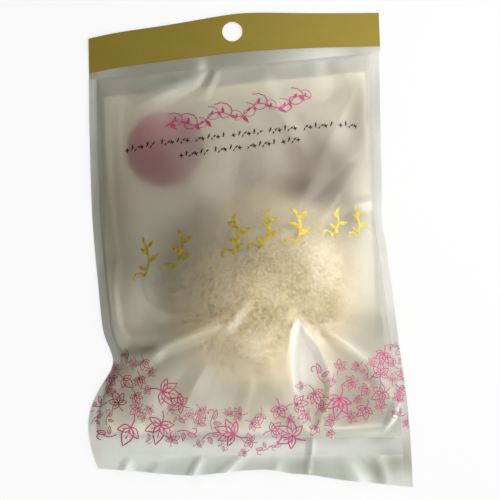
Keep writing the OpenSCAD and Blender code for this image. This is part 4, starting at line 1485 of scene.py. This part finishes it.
def print_on_film(name, motifs, marks, ink):
    """Prints motifs at marks of (x, y, turn, size, kind), in mm and radians."""
    shelf = bpy.data.collections.new(name + "_motifs")
    bpy.context.scene.collection.children.link(shelf)
    for i, (points, faces) in enumerate(motifs):
        mesh = bpy.data.meshes.new(f"{name}_{i:02d}")
        mesh.from_pydata([(x * MM, y * MM, 0) for x, y in points], [], faces)
        shelf.objects.link(bpy.data.objects.new(mesh.name, mesh))
    marked = bpy.data.meshes.new(name + "_marks")
    marked.from_pydata([(x * MM, y * MM, 0) for x, y, *_ in marks], [], [])
    for i, (key, kind) in enumerate((("turn", "FLOAT"), ("size", "FLOAT"), ("kind", "INT"))):
        marked.attributes.new(key, kind, "POINT").data.foreach_set("value", [m[2 + i] for m in marks])
    marked = bpy.data.objects.new(name + "_marks", marked)
    bpy.context.scene.collection.objects.link(marked)
    printed = made_by_nodes(marked, *PRINTER, {
        "Motifs": shelf, "Film": FILM_FACE, "Ink": ink,
        "Lift": PRINT_LIFT * MM, "Thickness": PRINT_THICK * MM,
    }, name)
    for motif in list(shelf.objects):
        bpy.data.objects.remove(motif)
    bpy.data.collections.remove(shelf)
    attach(printed, "bag")


def ink_print(name, left, right, metallic, roughness):
    """Printing ink that changes tone across the bag, with the starved specks of a quick print."""
    material, tree = new_material(name)
    grain = grained(tree, (1, 1, 1, 1), roughness, grain_depth=0.04, grain_size=0.3, streak_size=6.0)
    place = object_place(tree)
    across = add_node(tree, "ShaderNodeSeparateXYZ", {0: place}).outputs["X"]
    tone = colour_mix(tree, ranged(tree, across, PINK_TURNS), left, right)
    speck = ranged(tree, noise(tree, place, 1 / PRINT_SPECK).outputs[0], (0.3, 0.7), (0.72, 1.35))
    plain_surface(tree, grain, scaled(tree, tone, speck), metallic)
    return material


PINK_INK = ink_print("pink_print", PINK_LEFT, PINK_RIGHT, 0.0, 0.4)


def border_marks():
    """Sprigs thrown into the band, the large ones first, each where it has room."""
    chance = np.random.default_rng(21)
    marks = []
    for size, count in BORDER_SIZES:
        for _ in range(count):
            for _ in range(BORDER_TRIES):
                x = chance.uniform(*BORDER_ENDS)
                top = np.interp(x, BORDER_BAND[:, 0], BORDER_BAND[:, 1]) - size * 0.3
                bottom = np.interp(x, BORDER_BAND[:, 0], BORDER_BAND[:, 2]) + size * 0.3
                y = top + (bottom - top) * chance.uniform(0, 1) ** (1.15 if size > 5 else 0.75)
                if all(math.dist((x, y), m[:2]) > BORDER_CLOSE * (size + m[3]) for m in marks):
                    turn, kind = chance.uniform(0, 2 * math.pi), int(chance.integers(0, 5))
                    marks.append((x, y, turn, size, kind))
                    break
    return marks


print_on_film(
    "pink_border",
    [fan_sprig(5, 1.9, 0.6), fan_sprig(5, 1.45, 0.52), fan_sprig(4, 1.3, 0.6), twin_leaf(),
     fan_sprig(3, 1.0, 0.64)],
    border_marks(), PINK_INK,
)

# Gold row: large solid sprigs in gold, printed across the sponge
# They stand on a line that rises to the right, and the last ones are smaller.
GOLD = (0.80, 0.61, 0.08, 1)
GOLD_FROM, GOLD_TO = (-38, -6.5), (42, 5.5)
GOLD_HIGH = 15
GOLD_PLACES = (0, 0.16, 0.42, 0.555, 0.70, 0.885, 0.995)
GOLD_TURNS = (
    [(-0.28, 2.5, 0.26), (-0.1, 0.5, 0.32), (0.08, 2.3, 0.32), (0.26, 0.6, 0.26), (0.42, 1.6, 0.18)],
    [(-0.22, 0.4, 0.34), (-0.05, 2.6, 0.36), (0.18, 0.7, 0.30), (0.34, 2.2, 0.24)],
    [(-0.3, 0.3, 0.22), (-0.16, 2.7, 0.28), (0.02, 0.4, 0.34), (0.2, 2.4, 0.30), (0.4, 1.2, 0.2)],
)


def leaf_fill(length, width, angle, start=(0, 0)):
    """A leaf printed solid."""
    along, half = leaf_halves(length, width, 10)
    points = np.concatenate([np.stack([along, half * k], 1) for k in (1, 0, -1)])
    count = len(along)
    faces = [(row * count + i, (row + 1) * count + i, (row + 1) * count + i + 1, row * count + i + 1)
             for row in range(2) for i in range(count - 1)]
    return turned(points, angle, start), faces


def gold_sprig(turns):
    """A solid sprig with a swelling stem, pairs of leaves and a curled foot."""
    foot = [
        (-0.16 + 0.13 * math.cos(t), -0.40 + 0.10 * math.sin(t)) for t in np.linspace(3.9, -0.4, 14)
    ]
    shapes = [ribbon(foot, 0.055), bow((-0.03, -0.44), (0.10, 0.46), -0.16, 0.06, 12)]
    for height, angle, length in turns:
        share = (height + 0.44) / 0.9
        lean = -0.03 + 0.13 * share + 0.16 * math.sin(math.pi * share)
        shapes.append(leaf_fill(length, length * 0.42, angle, (lean, height)))
    return joined(shapes)


GOLD_INK = ink_print("gold_print", GOLD, GOLD, 0.35, 0.42)
gold_marks = []
for order, share in enumerate(GOLD_PLACES):
    x = GOLD_FROM[0] + (GOLD_TO[0] - GOLD_FROM[0]) * share
    y = GOLD_FROM[1] + (GOLD_TO[1] - GOLD_FROM[1]) * share
    size = GOLD_HIGH * (1 - 0.22 * (order > 4))
    gold_marks.append((x, y, 0.15 - 0.25 * (order % 2), size, order % 3))
print_on_film(
    "gold_row", [gold_sprig(turns) for turns in GOLD_TURNS], gold_marks, GOLD_INK
)

# Pink vine: a waving stem printed above the gold row
# Small leaves stand on it to both sides, every other one with a curl.
VINE_FROM, VINE_TO = (-28.5, 44.5), (27, 55.3)
VINE_WAVES = 3.5
VINE_HIGH = 1.9
VINE_LEAVES, VINE_LEAF = 24, 4.6


def vine_point(share):
    """A point of the vine's stem, at a share of its way."""
    along = np.array(VINE_TO) - np.array(VINE_FROM)
    up = np.array([-along[1], along[0]]) / np.linalg.norm(along)
    sway = VINE_HIGH * math.sin(2 * math.pi * VINE_WAVES * share)
    return np.array(VINE_FROM) + along * share + up * sway


vine_stem = ribbon([vine_point(t) for t in np.linspace(0, 1, 150)], 0.42)
vine_marks = [(0, 0, 0, 1, 0)]
rise = math.atan2(VINE_TO[1] - VINE_FROM[1], VINE_TO[0] - VINE_FROM[0])
for order, share in enumerate(np.linspace(0.03, 0.97, VINE_LEAVES)):
    x, y = vine_point(share)
    side = 1 if order % 2 else -1
    turn = rise + side * (0.95 + 0.3 * math.sin(order * 2.3))
    vine_marks.append((x, y, turn, VINE_LEAF - 0.9 * (order % 3), 1 + order % 2))
curl = ribbon([
    (0.75 * t / 9 * math.cos(t * 0.55), 0.75 * t / 9 * math.sin(t * 0.55)) for t in range(1, 14)
], 0.09)
print_on_film(
    "pink_vine", [vine_stem, leaf_fill(0.9, 0.36, 0), joined([leaf_fill(0.62, 0.3, 0.2), curl])],
    vine_marks, PINK_INK,
)

# Fine rows: two rows of small lozenges and leaves, printed in a dark plum ink
# They run between the vine and the gold row, with a gap after every six.
PLUM = (0.045, 0.018, 0.016, 1)
# Each row: its start, its end and how many places it has
DASH_ROWS = (((-43.5, 36.5), (43.7, 43.8), 46), ((-22.5, 32.0), (21.4, 36.9), 25))
WORD = 6


def lozenge(wide, high):
    """A small solid lozenge with hollow sides."""
    rim = [(wide, 0), (wide * 0.3, high * 0.3), (0, high), (-wide * 0.3, high * 0.3),
           (-wide, 0), (-wide * 0.3, -high * 0.3), (0, -high), (wide * 0.3, -high * 0.3)]
    return np.array([(0, 0)] + rim), [(0, 1 + i, 1 + (i + 1) % 8) for i in range(8)]


PLUM_INK = ink_print("plum_print", PLUM, PLUM, 0.0, 0.45)
FINE_MOTIFS = [
    lozenge(0.95, 1.2), joined([lozenge(0.5, 0.5), leaf_fill(1.9, 0.8, 1.2, (0.15, 0.1))]),
    joined([leaf_fill(1.7, 0.7, 0.5, (0.1, 0)), leaf_fill(1.5, 0.6, -2.3, (-0.1, 0))]),
]
dash_marks = []
for start, end, count in DASH_ROWS:
    slope = math.atan2(end[1] - start[1], end[0] - start[0])
    for order, share in enumerate(np.linspace(0, 1, count)):
        if order % (WORD + 1) < WORD:
            x, y = (start[i] + (end[i] - start[i]) * share for i in (0, 1))
            dash_marks.append((x, y, slope + 0.25 * (order % 2), 1.0, order % 3))
print_on_film("fine_rows", FINE_MOTIFS, dash_marks, PLUM_INK)
bpy.data.collections.remove(FILM_FACE)
